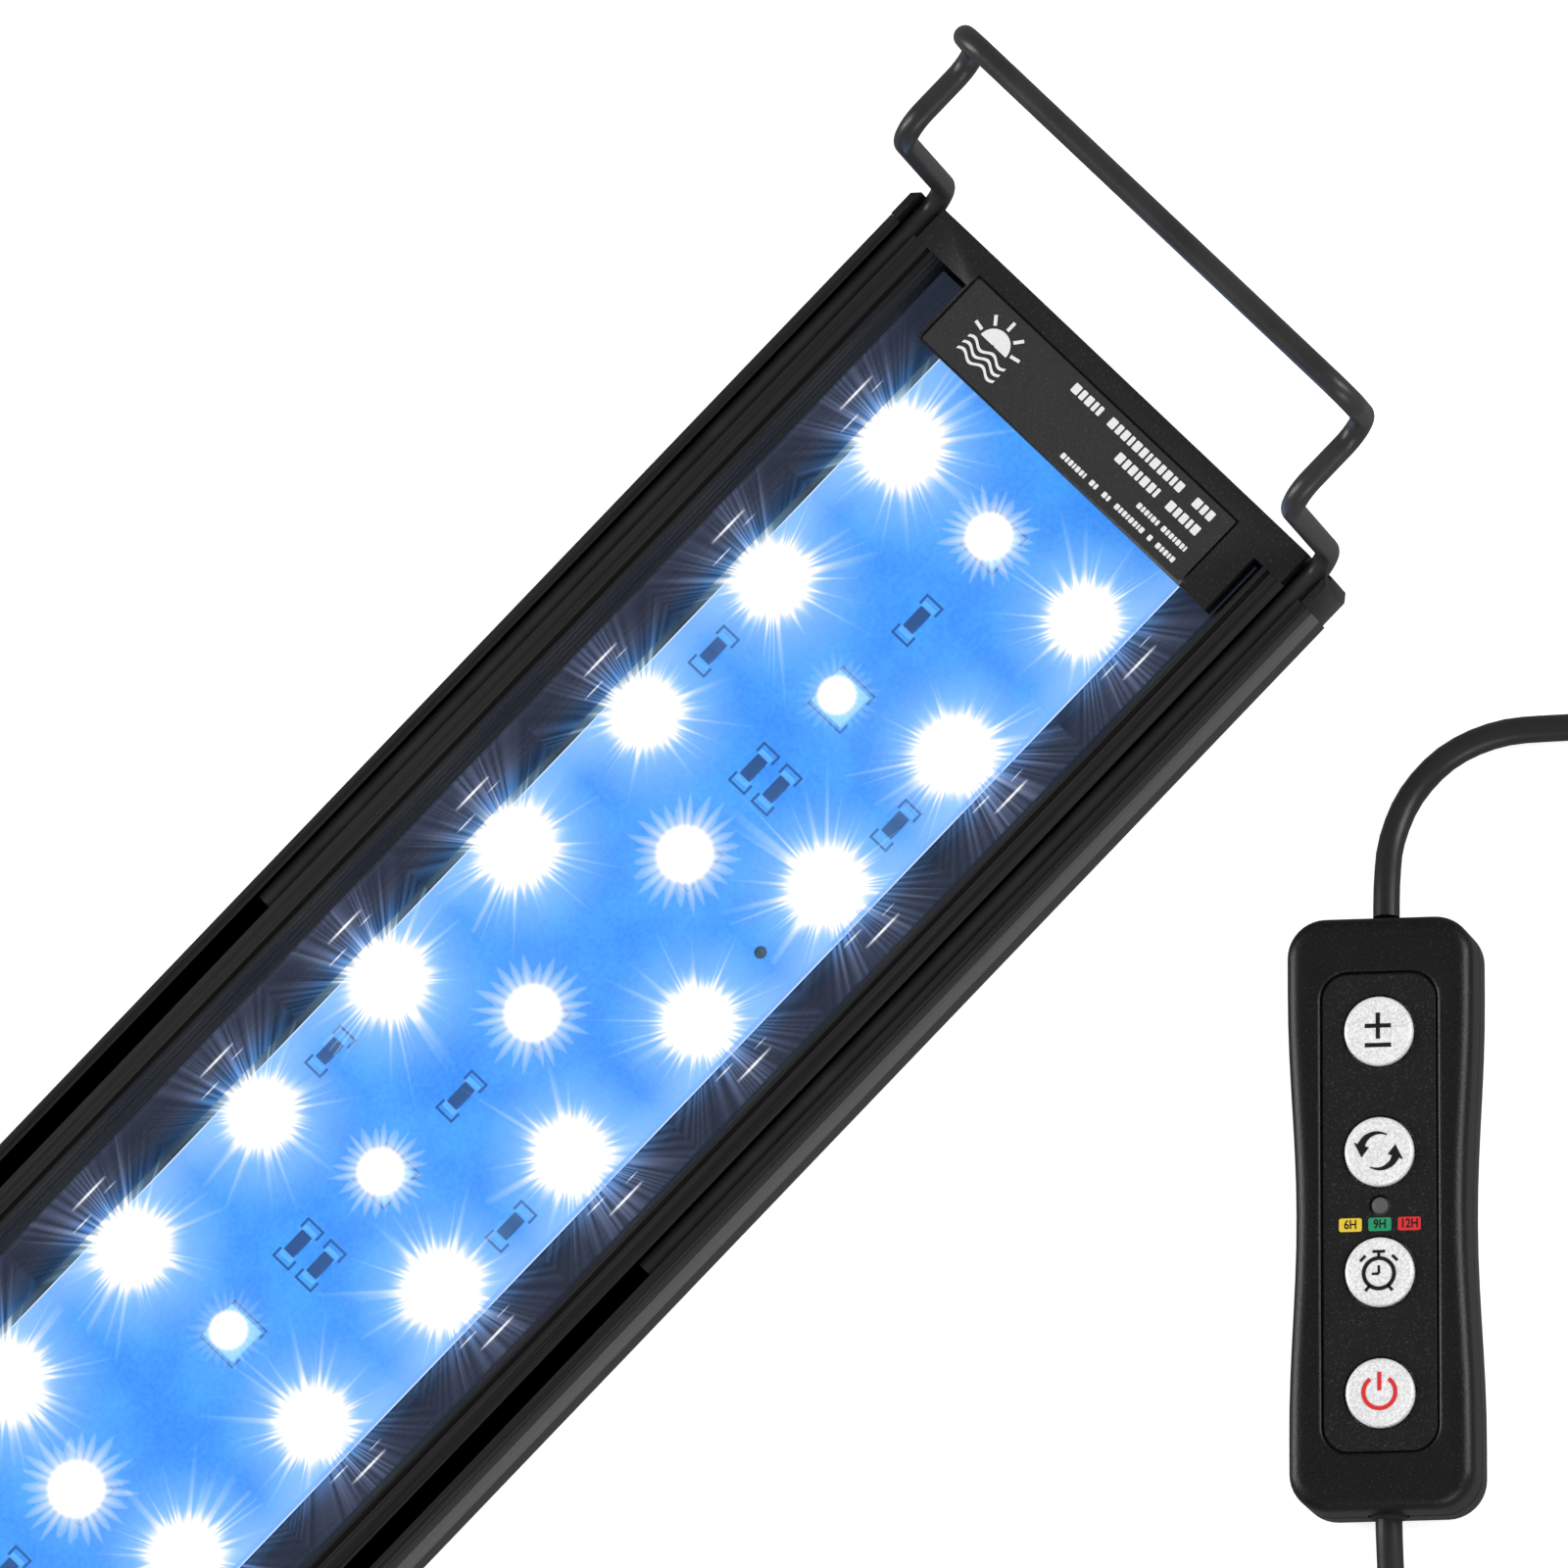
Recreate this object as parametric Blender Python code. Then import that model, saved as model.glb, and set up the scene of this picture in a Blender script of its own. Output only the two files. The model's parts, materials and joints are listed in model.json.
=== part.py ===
"""Aquarium light with an inline key controller, as an assembly of separate pieces.

The lamp lies on its back. +X runs along the housing, +Z points out of the lit face,
-Y is the side where the controller lies, and the origin is the middle of the underside.
Named sizes are millimetres, and place() turns them into metres.
"""

import math

import bmesh
import bpy
from mathutils import Vector

MM = 0.001
GAP = 0.3

# Housing extrusion, lying along X
HOUSING_HALF_LENGTH = 205.0
HEIGHT = 15.0
HALF_WIDTH = 35.25
FLOOR_TOP = 5.0
FIN_CEILING = 3.5
FIN_WIDTH = 1.2
FIN_PITCH = 3.4
FIN_FIRST = 9.5
FIN_COUNT = 6
LAND_HALF_WIDTH = 7.0
SIDE_BORE_RADIUS = 1.5
SIDE_BORE_Y = 29.8
SIDE_BORE_Z = 6.2

# Wire channel in each rim, and the bent wire that slides in it
WIRE_RADIUS = 1.4
WIRE_Y = 32.3
WIRE_Z = 12.5
CHANNEL_HALF = WIRE_RADIUS + GAP
MOUTH_HALF = 1.15
LEG_START_X = 95.0
RISER_X = 211.9
ARM_Z = 45.5
HOOK_X = 225.4
CROSSBAR_Z = 58.8
BEND_RADIUS = 4.2
BEND_STEPS = 5

# Board, thermal pad, cover and lamps
BOARD_HALF_LENGTH = 203.5
BOARD_HALF_WIDTH = 20.25
BOARD_LOW = 6.1
BOARD_TOP = 7.7
COVER_HALF_WIDTH = 27.3
COVER_LOW = 9.55
COVER_TOP = 10.75
SIDE_ROW_COUNT = 18
SIDE_ROW_PITCH = 21.9
SIDE_ROW_Y = 15.4
SIDE_LAMP = (5.7, 3.0)
MIDDLE_ROW_COUNT = 15
MIDDLE_ROW_PITCH = 26.0
MIDDLE_ROW_START = 185.6
MIDDLE_LAMP = (5.0, 5.0)
LAMP_HEIGHT = 0.9
LINK_WIDTH = 0.8

# End caps, label plate and the cord gland in the left cap
CAP_OUTER_X = 210.0
CAP_INNER_X = HOUSING_HALF_LENGTH + GAP
TONGUE_X = 196.8
TONGUE_NEAR_Y = -26.1
TONGUE_FAR_Y = 22.2
LABEL_X = (197.1, 206.9)
LABEL_HALF_WIDTH = 21.6
LABEL_THICK = 0.2
CAP_CHAMFER = 2.4
GLAND_Y = -12.0
GLAND_Z = 7.6

# Controller: middle, heading of its long axis, outline and heights
CONTROLLER_MIDDLE = (159.8, -91.0)
CONTROLLER_HEADING = math.radians(44.7)
BODY_HALF_LENGTH = 35.25
BODY_HALF_WIDTH = 11.1
BODY_WAIST = 0.95
WAIST_REACH = 26.0
BODY_CORNER = 4.6
BODY_WALL = 1.6
BODY_TOP = 11.5
PARTING_LOW = 5.2
PARTING_HIGH = 5.5
KEYPAD_HALF_LENGTH = 28.65
KEYPAD_HALF_WIDTH = 7.0
KEYPAD_CORNER = 3.3
ROOF_LOW = 9.3
ROOF_TOP = 10.6
BUTTON_PLACES = {"power_button": -21.5, "timer_button": -7.15, "cycle_button": 7.15, "level_button": 21.5}
BUTTON_RADIUS = 4.1
BUTTON_TOP = 12.1
BUTTON_LOW = 7.8
INDICATOR_Y = 0.8
INDICATOR_RADIUS = 1.0
SHELL_SCREW_X = 5.9
SHELL_SCREW_Y = 28.9

# Cords: one from the lamp to the controller, one from the controller to its plug
CORD_RADIUS = 1.6
CORD_EXIT_Z = 5.35
CORD_STEP = 8.0
RING_A_MIDDLE = (72.0, -115.0)
RING_A_SIZE = (13.2, 22.8, 6.4)
RING_B_LOCAL = (48.0, 39.1)
RING_B_SIZE = (14.8, 21.2, 6.4)
LAMP_CORD_ROUTE = [
    (-224.3, -12.0, 7.6), (-230.0, -12.6, 7.3), (-236.5, -15.6, 6.2), (-241.8, -21.6, 4.4),
    (-244.0, -29.5, 2.6), (-243.2, -38.5, 1.75), (-239.0, -47.0, 1.6), (-231.5, -53.8, 1.6),
    (-220.5, -58.2, 1.6), (-204.0, -60.4, 1.6), (-180.0, -60.6, 1.6), (-150.0, -59.0, 1.6),
    (-118.0, -58.2, 1.6), (-86.0, -60.4, 1.6), (-54.0, -65.8, 1.6), (-24.0, -74.4, 1.6),
    (0.0, -84.2, 1.6), (20.0, -95.4, 1.6), (36.0, -109.0, 1.6), (47.8, -120.8, 1.6),
]
COIL_TO_CONTROLLER = [
    (84.8, -136.4, 2.4), (92.0, -136.3, 1.8), (99.2, -136.3, 1.6), (108.5, -135.1, 1.6), (117.2, -131.5, 1.6),
]
CONTROLLER_ARRIVAL = [(0.0, -49.6, 2.2), (0.0, -43.0, 3.8), (0.0, -36.0, 5.35)]
CONTROLLER_DEPARTURE = [
    (0.0, 36.0, 5.35), (0.0, 40.5, 4.7), (0.4, 45.6, 3.4), (2.6, 51.2, 2.2), (7.0, 55.8, 1.65),
    (13.0, 58.3, 1.6), (20.0, 58.8, 1.6), (28.0, 58.8, 1.6), (35.6, 58.8, 1.6),
]
PLUG_ROUTE = [(71.1, 40.3, 1.9), (72.7, 36.6, 2.5), (73.6, 32.4, 3.6), (73.9, 28.2, 4.7), (73.9, 24.5, 5.2)]
PLUG_START = (73.9, 24.2, 5.3)
PLUG_TAPER = 10.0
PLUG_GRIP = 13.0
PLUG_BARREL = 9.5


def place(point):
    """A point in millimetres as metres."""
    return Vector(point) * MM


def from_controller(point):
    """A point given across and along the controller, in the object's frame."""
    across, along, height = point
    cos, sin = math.cos(CONTROLLER_HEADING), math.sin(CONTROLLER_HEADING)
    x = CONTROLLER_MIDDLE[0] + along * cos + across * sin
    y = CONTROLLER_MIDDLE[1] + along * sin - across * cos
    return (x, y, height)


def make_material(name, colour, roughness, metallic=0.0):
    """A Principled material of one colour."""
    material = bpy.data.materials.new(name)
    material.use_nodes = True
    shader = material.node_tree.nodes["Principled BSDF"]
    shader.inputs["Base Color"].default_value = (*colour, 1.0)
    shader.inputs["Roughness"].default_value = roughness
    shader.inputs["Metallic"].default_value = metallic
    material.diffuse_color = (*colour, 1.0)
    return material


def add_object(name, bm, material):
    """A new object from a bmesh, its faces turned outwards and its round faces smooth."""
    bmesh.ops.recalc_face_normals(bm, faces=bm.faces)
    mesh = bpy.data.meshes.new(name)
    bm.to_mesh(mesh)
    bm.free()
    mesh.materials.append(material)
    mesh.shade_smooth()
    mesh.set_sharp_from_angle(angle=math.radians(35.0))
    obj = bpy.data.objects.new(name, mesh)
    bpy.context.collection.objects.link(obj)
    return obj


def prism(name, corners, shift, material):
    """A closed solid from a flat outline of 3-D corners, pushed along a vector."""
    bm = bmesh.new()
    base = bm.faces.new([bm.verts.new(place(corner)) for corner in corners])
    pushed = bmesh.ops.extrude_face_region(bm, geom=[base])
    tops = [item for item in pushed["geom"] if isinstance(item, bmesh.types.BMVert)]
    bmesh.ops.translate(bm, verts=tops, vec=place(shift))
    return add_object(name, bm, material)


def box(name, low, high, material):
    """A box between two corners."""
    (x0, y0, z0), (x1, y1, z1) = low, high
    corners = [(x0, y0, z0), (x1, y0, z0), (x1, y1, z0), (x0, y1, z0)]
    return prism(name, corners, (0.0, 0.0, z1 - z0), material)


def loft(name, rings, material):
    """A closed solid through rings of the same number of points, with flat ends."""
    bm = bmesh.new()
    loops = [[bm.verts.new(place(point)) for point in ring] for ring in rings]
    bm.faces.new(loops[0])
    bm.faces.new(loops[-1])
    for lower, upper in zip(loops, loops[1:]):
        for index, vert in enumerate(lower):
            after = (index + 1) % len(lower)
            bm.faces.new((vert, lower[after], upper[after], upper[index]))
    return add_object(name, bm, material)


def turned(name, profile, start, direction, material, sides=16):
    """A turned solid: profile pairs are the distance along the direction and the radius."""
    along = Vector(direction).normalized()
    side = along.orthogonal().normalized()
    other = along.cross(side)
    rings = []
    for distance, radius in profile:
        middle = Vector(start) + along * distance
        turn = [math.tau * step / sides for step in range(sides)]
        rings.append([middle + (side * math.cos(a) + other * math.sin(a)) * radius for a in turn])
    return loft(name, rings, material)


def combine(obj, tool, operation):
    """Add a Boolean to an object and hide the tool solid that it uses."""
    tool.hide_render = True
    tool.display_type = "WIRE"
    modifier = obj.modifiers.new(tool.name, "BOOLEAN")
    modifier.operation = operation
    modifier.object = tool


def drill(obj, name, start, direction, radius, depth, sides=16):
    """Cut a round hole."""
    tool = turned(name, [(0.0, radius), (depth, radius)], start, direction, obj.data.materials[0], sides)
    combine(obj, tool, "DIFFERENCE")


def cut_box(obj, name, low, high):
    """Cut a box-shaped pocket."""
    combine(obj, box(name, low, high, obj.data.materials[0]), "DIFFERENCE")


def mirrored(half):
    """A whole outline across Y from its +Y half, listed from the bottom to the top."""
    return half + [(-y, z) for y, z in reversed(half)]


def housing_half_profile():
    """Half of the extrusion's cross-section: fins, side, wire channel, cover slot and tray."""
    half = [(LAND_HALF_WIDTH, 0.0), (LAND_HALF_WIDTH, 1.5), (FIN_WIDTH, 1.5), (FIN_WIDTH, FIN_CEILING)]
    for index in range(FIN_COUNT):
        middle = FIN_FIRST + index * FIN_PITCH
        near, far = middle - FIN_WIDTH / 2, middle + FIN_WIDTH / 2
        half += [(near, FIN_CEILING), (near, 0.4), (far, 0.4), (far, FIN_CEILING)]
    half += [(31.2, FIN_CEILING), (31.8, 0.4), (32.4, 0.0), (34.3, 0.0), (34.7, 0.4)]
    half += [(HALF_WIDTH, 6.8), (HALF_WIDTH, 7.2), (34.95, 14.7), (34.65, HEIGHT)]
    outer, inner = WIRE_Y + CHANNEL_HALF, WIRE_Y - CHANNEL_HALF
    low, high = WIRE_Z - CHANNEL_HALF, WIRE_Z + CHANNEL_HALF
    half += [(WIRE_Y + MOUTH_HALF, HEIGHT), (WIRE_Y + MOUTH_HALF, high), (outer, high), (outer, low)]
    half += [(inner, low), (inner, high), (WIRE_Y - MOUTH_HALF, high), (WIRE_Y - MOUTH_HALF, HEIGHT)]
    half += [(28.9, HEIGHT), (28.75, 14.7), (28.45, 14.7), (28.3, HEIGHT), (28.0, HEIGHT)]
    half += [(26.4, 11.05), (27.6, 11.05), (27.6, 9.25), (26.4, 9.25), (26.4, FLOOR_TOP)]
    half += [(21.6, FLOOR_TOP), (21.6, 7.9), (20.6, 7.9), (20.6, FLOOR_TOP)]
    return half


def make_housing(metal):
    """The aluminium extrusion with a screw bore in each side."""
    outline = [(-HOUSING_HALF_LENGTH, y, z) for y, z in mirrored(housing_half_profile())]
    housing = prism("housing_extrusion", outline, (2 * HOUSING_HALF_LENGTH, 0.0, 0.0), metal)
    for side in (-1, 1):
        start = (-HOUSING_HALF_LENGTH - 1.0, side * SIDE_BORE_Y, SIDE_BORE_Z)
        depth = 2 * HOUSING_HALF_LENGTH + 2.0
        drill(housing, f"bore_{side}", start, (1, 0, 0), SIDE_BORE_RADIUS, depth, 12)


def cap_half_outline():
    """Half of an end cap's outline, with the notch that lets the wire through."""
    notch_low = WIRE_Z - CHANNEL_HALF
    outer, inner = WIRE_Y + CHANNEL_HALF, WIRE_Y - CHANNEL_HALF
    half = [(33.4, 0.3), (34.6, 1.4), (HALF_WIDTH, 7.0), (34.95, HEIGHT)]
    return half + [(outer, HEIGHT), (outer, notch_low), (inner, notch_low), (inner, HEIGHT)]


def make_cap(name, side, plastic):
    """An end cap: a plate over the housing's end with a tongue that holds the cover down."""
    outline = [(side * CAP_INNER_X, y, z) for y, z in mirrored(cap_half_outline())]
    cap = prism(name, outline, (side * (CAP_OUTER_X - CAP_INNER_X), 0.0, 0.0), plastic)
    x_range = sorted((side * TONGUE_X, side * (CAP_INNER_X + 1.0)))
    low = (x_range[0], TONGUE_NEAR_Y, COVER_TOP + GAP)
    high = (x_range[1], TONGUE_FAR_Y, HEIGHT)
    combine(cap, box(f"{name}_tongue", low, high, plastic), "UNION")
    for hand in (-1, 1):
        corner = [(side * (CAP_OUTER_X - CAP_CHAMFER), hand * 36.0, -1.0)]
        corner += [(side * (CAP_OUTER_X + 1.0), hand * 36.0, -1.0)]
        corner += [(side * (CAP_OUTER_X + 1.0), hand * (36.0 - CAP_CHAMFER - 1.0), -1.0)]
        wedge = prism(f"{name}_corner_{hand}", corner, (0.0, 0.0, HEIGHT + 2.0), plastic)
        combine(cap, wedge, "DIFFERENCE")
        start = (side * (CAP_INNER_X - 1.0), hand * SIDE_BORE_Y, SIDE_BORE_Z)
        drill(cap, f"{name}_hole_{hand}", start, (side, 0, 0), 1.6, 8.0, 12)
        head_start = (side * 208.0, hand * SIDE_BORE_Y, SIDE_BORE_Z)
        drill(cap, f"{name}_seat_{hand}", head_start, (side, 0, 0), 2.9, 3.0)
    pocket = sorted((side * (CAP_INNER_X - 1.0), side * (CAP_INNER_X + 1.1)))
    cut_box(cap, f"{name}_pocket", (pocket[0], -26.0, 3.8), (pocket[1], 26.0, 10.5))
    if side > 0:
        label_low = (LABEL_X[0] - GAP, -LABEL_HALF_WIDTH - GAP, HEIGHT - 0.4)
        label_high = (LABEL_X[1] + GAP, LABEL_HALF_WIDTH + GAP, HEIGHT + 1.0)
        cut_box(cap, f"{name}_label_seat", label_low, label_high)
    else:
        drill(cap, f"{name}_cord_hole", (-CAP_INNER_X + 1.0, GLAND_Y, GLAND_Z), (-1, 0, 0), 2.0, 8.0)


def make_gasket(name, side, rubber):
    """The soft seal between the housing's end and its cap."""
    x_range = sorted((side * CAP_INNER_X, side * (CAP_INNER_X + 0.8)))
    gasket = box(name, (x_range[0], -25.7, 4.1), (x_range[1], 25.7, 10.2), rubber)
    if side < 0:
        drill(gasket, f"{name}_cord_hole", (-CAP_INNER_X + 1.0, GLAND_Y, GLAND_Z), (-1, 0, 0), 2.0, 3.0)


def make_cap_screw(name, side, hand, steel):
    """A pan-head screw that holds an end cap in a side bore."""
    start = (side * (CAP_OUTER_X - 0.2), hand * SIDE_BORE_Y, SIDE_BORE_Z)
    profile = [(0.0, 1.9), (0.4, 2.5), (1.5, 2.6), (1.5, 1.2), (12.0, 1.2)]
    turned(name, profile, start, (-side, 0, 0), steel, 12)


def make_label_plate(plastic):
    """The thin plate in the right cap's seat."""
    low = (LABEL_X[0], -LABEL_HALF_WIDTH, HEIGHT - 0.1)
    high = (LABEL_X[1], LABEL_HALF_WIDTH, HEIGHT - 0.1 + LABEL_THICK)
    box("label_plate", low, high, plastic)


def make_lamp_row(name, places, across, size, colour):
    """One row of lamps on the board, joined by the thin track that feeds them."""
    length, width = size
    track = LINK_WIDTH / 2
    side = []
    for x in sorted(places):
        side += [(x - length / 2, track), (x - length / 2, width / 2)]
        side += [(x + length / 2, width / 2), (x + length / 2, track)]
    outline = [(x, across - y, BOARD_TOP + GAP) for x, y in side]
    outline += [(x, across + y, BOARD_TOP + GAP) for x, y in reversed(side)]
    prism(name, outline, (0.0, 0.0, LAMP_HEIGHT), colour)


def make_light_engine(finishes):
    """Thermal pad, board, three rows of lamps and the clear cover over them."""
    half_pad = BOARD_HALF_WIDTH - 0.25
    low = (-BOARD_HALF_LENGTH + 0.5, -half_pad, FLOOR_TOP + GAP)
    high = (BOARD_HALF_LENGTH - 0.5, half_pad, BOARD_LOW - GAP)
    box("thermal_pad", low, high, finishes["pad"])
    low = (-BOARD_HALF_LENGTH, -BOARD_HALF_WIDTH, BOARD_LOW)
    high = (BOARD_HALF_LENGTH, BOARD_HALF_WIDTH, BOARD_TOP)
    board = box("led_board", low, high, finishes["board"])
    hole_x = (SIDE_ROW_COUNT / 2 - 3) * SIDE_ROW_PITCH
    for side in (-1, 1):
        drill(board, f"board_hole_{side}", (side * hole_x, -SIDE_ROW_Y + 1.2, 5.0), (0, 0, 1), 0.8, 4.0, 12)
    first = (SIDE_ROW_COUNT - 1) / 2 * SIDE_ROW_PITCH
    places = [first - index * SIDE_ROW_PITCH for index in range(SIDE_ROW_COUNT)]
    make_lamp_row("front_lamp_row", places, -SIDE_ROW_Y, SIDE_LAMP, finishes["white_lamp"])
    make_lamp_row("rear_lamp_row", places, SIDE_ROW_Y, SIDE_LAMP, finishes["white_lamp"])
    places = [MIDDLE_ROW_START - index * MIDDLE_ROW_PITCH for index in range(MIDDLE_ROW_COUNT)]
    make_lamp_row("middle_lamp_row", places, 0.0, MIDDLE_LAMP, finishes["blue_lamp"])
    cover_end = HOUSING_HALF_LENGTH - GAP
    low = (-cover_end, -COVER_HALF_WIDTH, COVER_LOW)
    high = (cover_end, COVER_HALF_WIDTH, COVER_TOP)
    box("clear_cover", low, high, finishes["cover"])


def make_gland(rubber):
    """The strain relief where the cord leaves the left cap."""
    profile = [(0.0, 1.7), (5.3, 1.7), (5.3, 3.8), (6.8, 3.8), (6.8, 2.9), (19.0, 2.2)]
    turned("cord_gland", profile, (-205.0, GLAND_Y, GLAND_Z), (-1, 0, 0), rubber)


def make_lead_wires(finishes):
    """The two inner leads from the gland to the board's end."""
    for name, offset in (("lead_wire_positive", 0.7), ("lead_wire_negative", -0.7)):
        start = (-204.7, GLAND_Y + offset, BOARD_TOP + GAP + 0.45)
        turned(name, [(0.0, 0.45), (6.5, 0.45)], start, (1, 0, 0), finishes[name], 8)


def rounded_path(corners, radius, steps):
    """A path with each inner corner replaced by an arc of the given radius."""
    points = [Vector(corners[0])]
    for before, corner, after in zip(corners, corners[1:], corners[2:]):
        turn = Vector(corner)
        back = (Vector(before) - turn).normalized()
        ahead = (Vector(after) - turn).normalized()
        half_angle = back.angle(ahead) / 2
        middle = turn + (back + ahead).normalized() * radius / math.sin(half_angle)
        first = turn + back * radius / math.tan(half_angle) - middle
        last = turn + ahead * radius / math.tan(half_angle) - middle
        points += [middle + first.slerp(last, step / steps) * radius for step in range(steps + 1)]
    return points + [Vector(corners[-1])]


def tube(name, points, radius, resolution, material):
    """A round bar or cord as a curve through points, with closed ends."""
    curve = bpy.data.curves.new(name, "CURVE")
    curve.dimensions = "3D"
    curve.bevel_depth = radius * MM
    curve.bevel_resolution = resolution
    curve.use_fill_caps = True
    spline = curve.splines.new("POLY")
    spline.points.add(len(points) - 1)
    for target, point in zip(spline.points, points):
        target.co = (*place(point), 1.0)
    curve.materials.append(material)
    obj = bpy.data.objects.new(name, curve)
    bpy.context.collection.objects.link(obj)
    return obj


def make_bracket(name, side, wire):
    """One bent wire: two legs in the channels, stepped risers and a crossbar."""
    near = [(LEG_START_X, WIRE_Z), (RISER_X, WIRE_Z), (RISER_X, ARM_Z), (HOOK_X, ARM_Z), (HOOK_X, CROSSBAR_Z)]
    corners = [(side * x, -WIRE_Y, z) for x, z in near]
    corners += [(side * x, WIRE_Y, z) for x, z in reversed(near)]
    tube(name, rounded_path(corners, BEND_RADIUS, BEND_STEPS), WIRE_RADIUS, 3, wire)


def rounded_outline(half_x, half_y, radius, waist, height):
    """A rounded rectangle ring on the controller, its long sides drawn in by a waist."""
    corner_steps, side_steps = 4, 6
    straight = half_y - radius
    ring = []
    for quarter, (sign_x, sign_y) in enumerate(((1, 1), (-1, 1), (-1, -1), (1, -1))):
        for step in range(corner_steps + 1):
            angle = math.pi / 2 * (quarter + step / corner_steps)
            x = sign_x * (half_x - radius) + radius * math.cos(angle)
            y = sign_y * straight + radius * math.sin(angle)
            ring.append((x, y))
        if quarter in (1, 3):
            for step in range(1, side_steps):
                y = sign_y * straight * (1 - 2 * step / side_steps)
                drawn_in = waist * 0.5 * (1 + math.cos(math.pi * min(1.0, abs(y) / WAIST_REACH)))
                ring.append((sign_x * (half_x - drawn_in), y))
    return [from_controller((x, y, height)) for x, y in ring]


def body_ring(inset, height):
    """A ring of the controller's outline, drawn in by an inset."""
    corner = max(BODY_CORNER - inset, 1.2)
    return rounded_outline(BODY_HALF_WIDTH - inset, BODY_HALF_LENGTH - inset, corner, BODY_WAIST, height)


def keypad_ring(inset, height):
    """A ring of the keypad's outline, drawn in by an inset."""
    corner = KEYPAD_CORNER - inset
    return rounded_outline(KEYPAD_HALF_WIDTH - inset, KEYPAD_HALF_LENGTH - inset, corner, 0.0, height)


def controller_post(obj, name, x, y, radius, low, high):
    """Join a round post to a controller shell."""
    start = from_controller((x, y, low))
    post = turned(name, [(0.0, radius), (high - low, radius)], start, (0, 0, 1), obj.data.materials[0], 12)
    combine(obj, post, "UNION")


def controller_hole(obj, name, x, y, radius, low, high, sides=16):
    """Drill an upright hole in a controller piece."""
    drill(obj, name, from_controller((x, y, low)), (0, 0, 1), radius, high - low, sides)


def cut_cord_ways(obj, name):
    """Cut the round cord ways through both ends of a controller shell."""
    for side in (-1, 1):
        start = from_controller((0.0, side * (BODY_HALF_LENGTH - 3.0), CORD_EXIT_Z))
        ahead = Vector(from_controller((0.0, side, 0.0))) - Vector(from_controller((0.0, 0.0, 0.0)))
        drill(obj, f"{name}_way_{side}", start, ahead, 2.5, 5.0)


def cut_key_holes(obj, name, low, high):
    """Cut the four button holes and the indicator hole."""
    for button, along in BUTTON_PLACES.items():
        controller_hole(obj, f"{name}_{button}", 0.0, along, BUTTON_RADIUS + GAP, low, high, 24)
    controller_hole(obj, f"{name}_indicator", 0.0, INDICATOR_Y, INDICATOR_RADIUS + GAP, low, high, 12)


def make_controller_shells(plastic):
    """The controller's upper and lower shells, with posts for its screws."""
    corners = [(x, y) for x in (-SHELL_SCREW_X, SHELL_SCREW_X) for y in (-SHELL_SCREW_Y, SHELL_SCREW_Y)]
    rings = [body_ring(BODY_WALL, ROOF_LOW), body_ring(BODY_WALL, PARTING_HIGH), body_ring(0.0, PARTING_HIGH)]
    rings += [body_ring(0.0, 9.8), body_ring(0.3, 10.8), body_ring(1.1, BODY_TOP)]
    rings += [keypad_ring(-0.3, BODY_TOP), keypad_ring(0.0, BODY_TOP - 0.3), keypad_ring(0.0, ROOF_TOP)]
    top = loft("controller_top_shell", rings, plastic)
    for index, (x, y) in enumerate(corners):
        controller_post(top, f"top_post_{index}", x, y, 2.2, PARTING_HIGH, ROOF_LOW + 0.6)
        controller_hole(top, f"top_pilot_{index}", x, y, 1.2, 4.0, 8.9, 12)
    cut_cord_ways(top, "top")
    cut_key_holes(top, "top", 8.5, 13.0)
    rings = [body_ring(BODY_WALL, 1.5), body_ring(BODY_WALL, PARTING_LOW), body_ring(0.0, PARTING_LOW)]
    rings += [body_ring(0.0, 1.4), body_ring(0.45, 0.4), body_ring(1.4, 0.0)]
    bottom = loft("controller_bottom_shell", rings, plastic)
    for index, (x, y) in enumerate(corners):
        controller_post(bottom, f"bottom_post_{index}", x, y, 3.2, 1.0, PARTING_LOW)
        controller_hole(bottom, f"bottom_seat_{index}", x, y, 2.2, -1.0, 2.6)
        controller_hole(bottom, f"bottom_bore_{index}", x, y, 1.2, 2.0, 6.0, 12)
    cut_cord_ways(bottom, "bottom")


def make_keypad(finishes):
    """The overlay, the buttons, the indicator and the switches on their board."""
    overlay = loft("keypad_overlay", [keypad_ring(GAP, 10.9), keypad_ring(GAP, 11.2)], finishes["overlay"])
    cut_key_holes(overlay, "overlay", 10.0, 13.0)
    flange = [(0.0, 1.5), (0.2, 1.5), (0.2, 4.8), (1.2, 4.8), (1.2, BUTTON_RADIUS)]
    crown = [(BUTTON_TOP - BUTTON_LOW - 0.4, BUTTON_RADIUS), (BUTTON_TOP - BUTTON_LOW, BUTTON_RADIUS - 0.4)]
    for name, along in BUTTON_PLACES.items():
        start = from_controller((0.0, along, BUTTON_LOW))
        turned(name, flange + crown, start, (0, 0, 1), finishes["button"], 24)
        switch = name.replace("button", "switch")
        start = from_controller((0.0, along, 4.5))
        profile = [(0.0, 3.0), (2.1, 3.0), (2.1, 1.6), (2.7, 1.6)]
        turned(switch, profile, start, (0, 0, 1), finishes["switch"], 8)
    start = from_controller((0.0, INDICATOR_Y, 8.4))
    profile = [(0.0, 1.25), (0.6, 1.25), (0.6, INDICATOR_RADIUS), (2.9, INDICATOR_RADIUS)]
    turned("indicator_lens", profile, start, (0, 0, 1), finishes["lens"], 12)
    half_length, half_width = 25.2, 7.4
    outline = [(half_width, half_length), (-half_width, half_length)]
    outline += [(-half_width, -half_length), (half_width, -half_length)]
    corners = [from_controller((x, y, 3.0)) for x, y in outline]
    prism("controller_board", corners, (0.0, 0.0, 1.2), finishes["green_board"])


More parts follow.
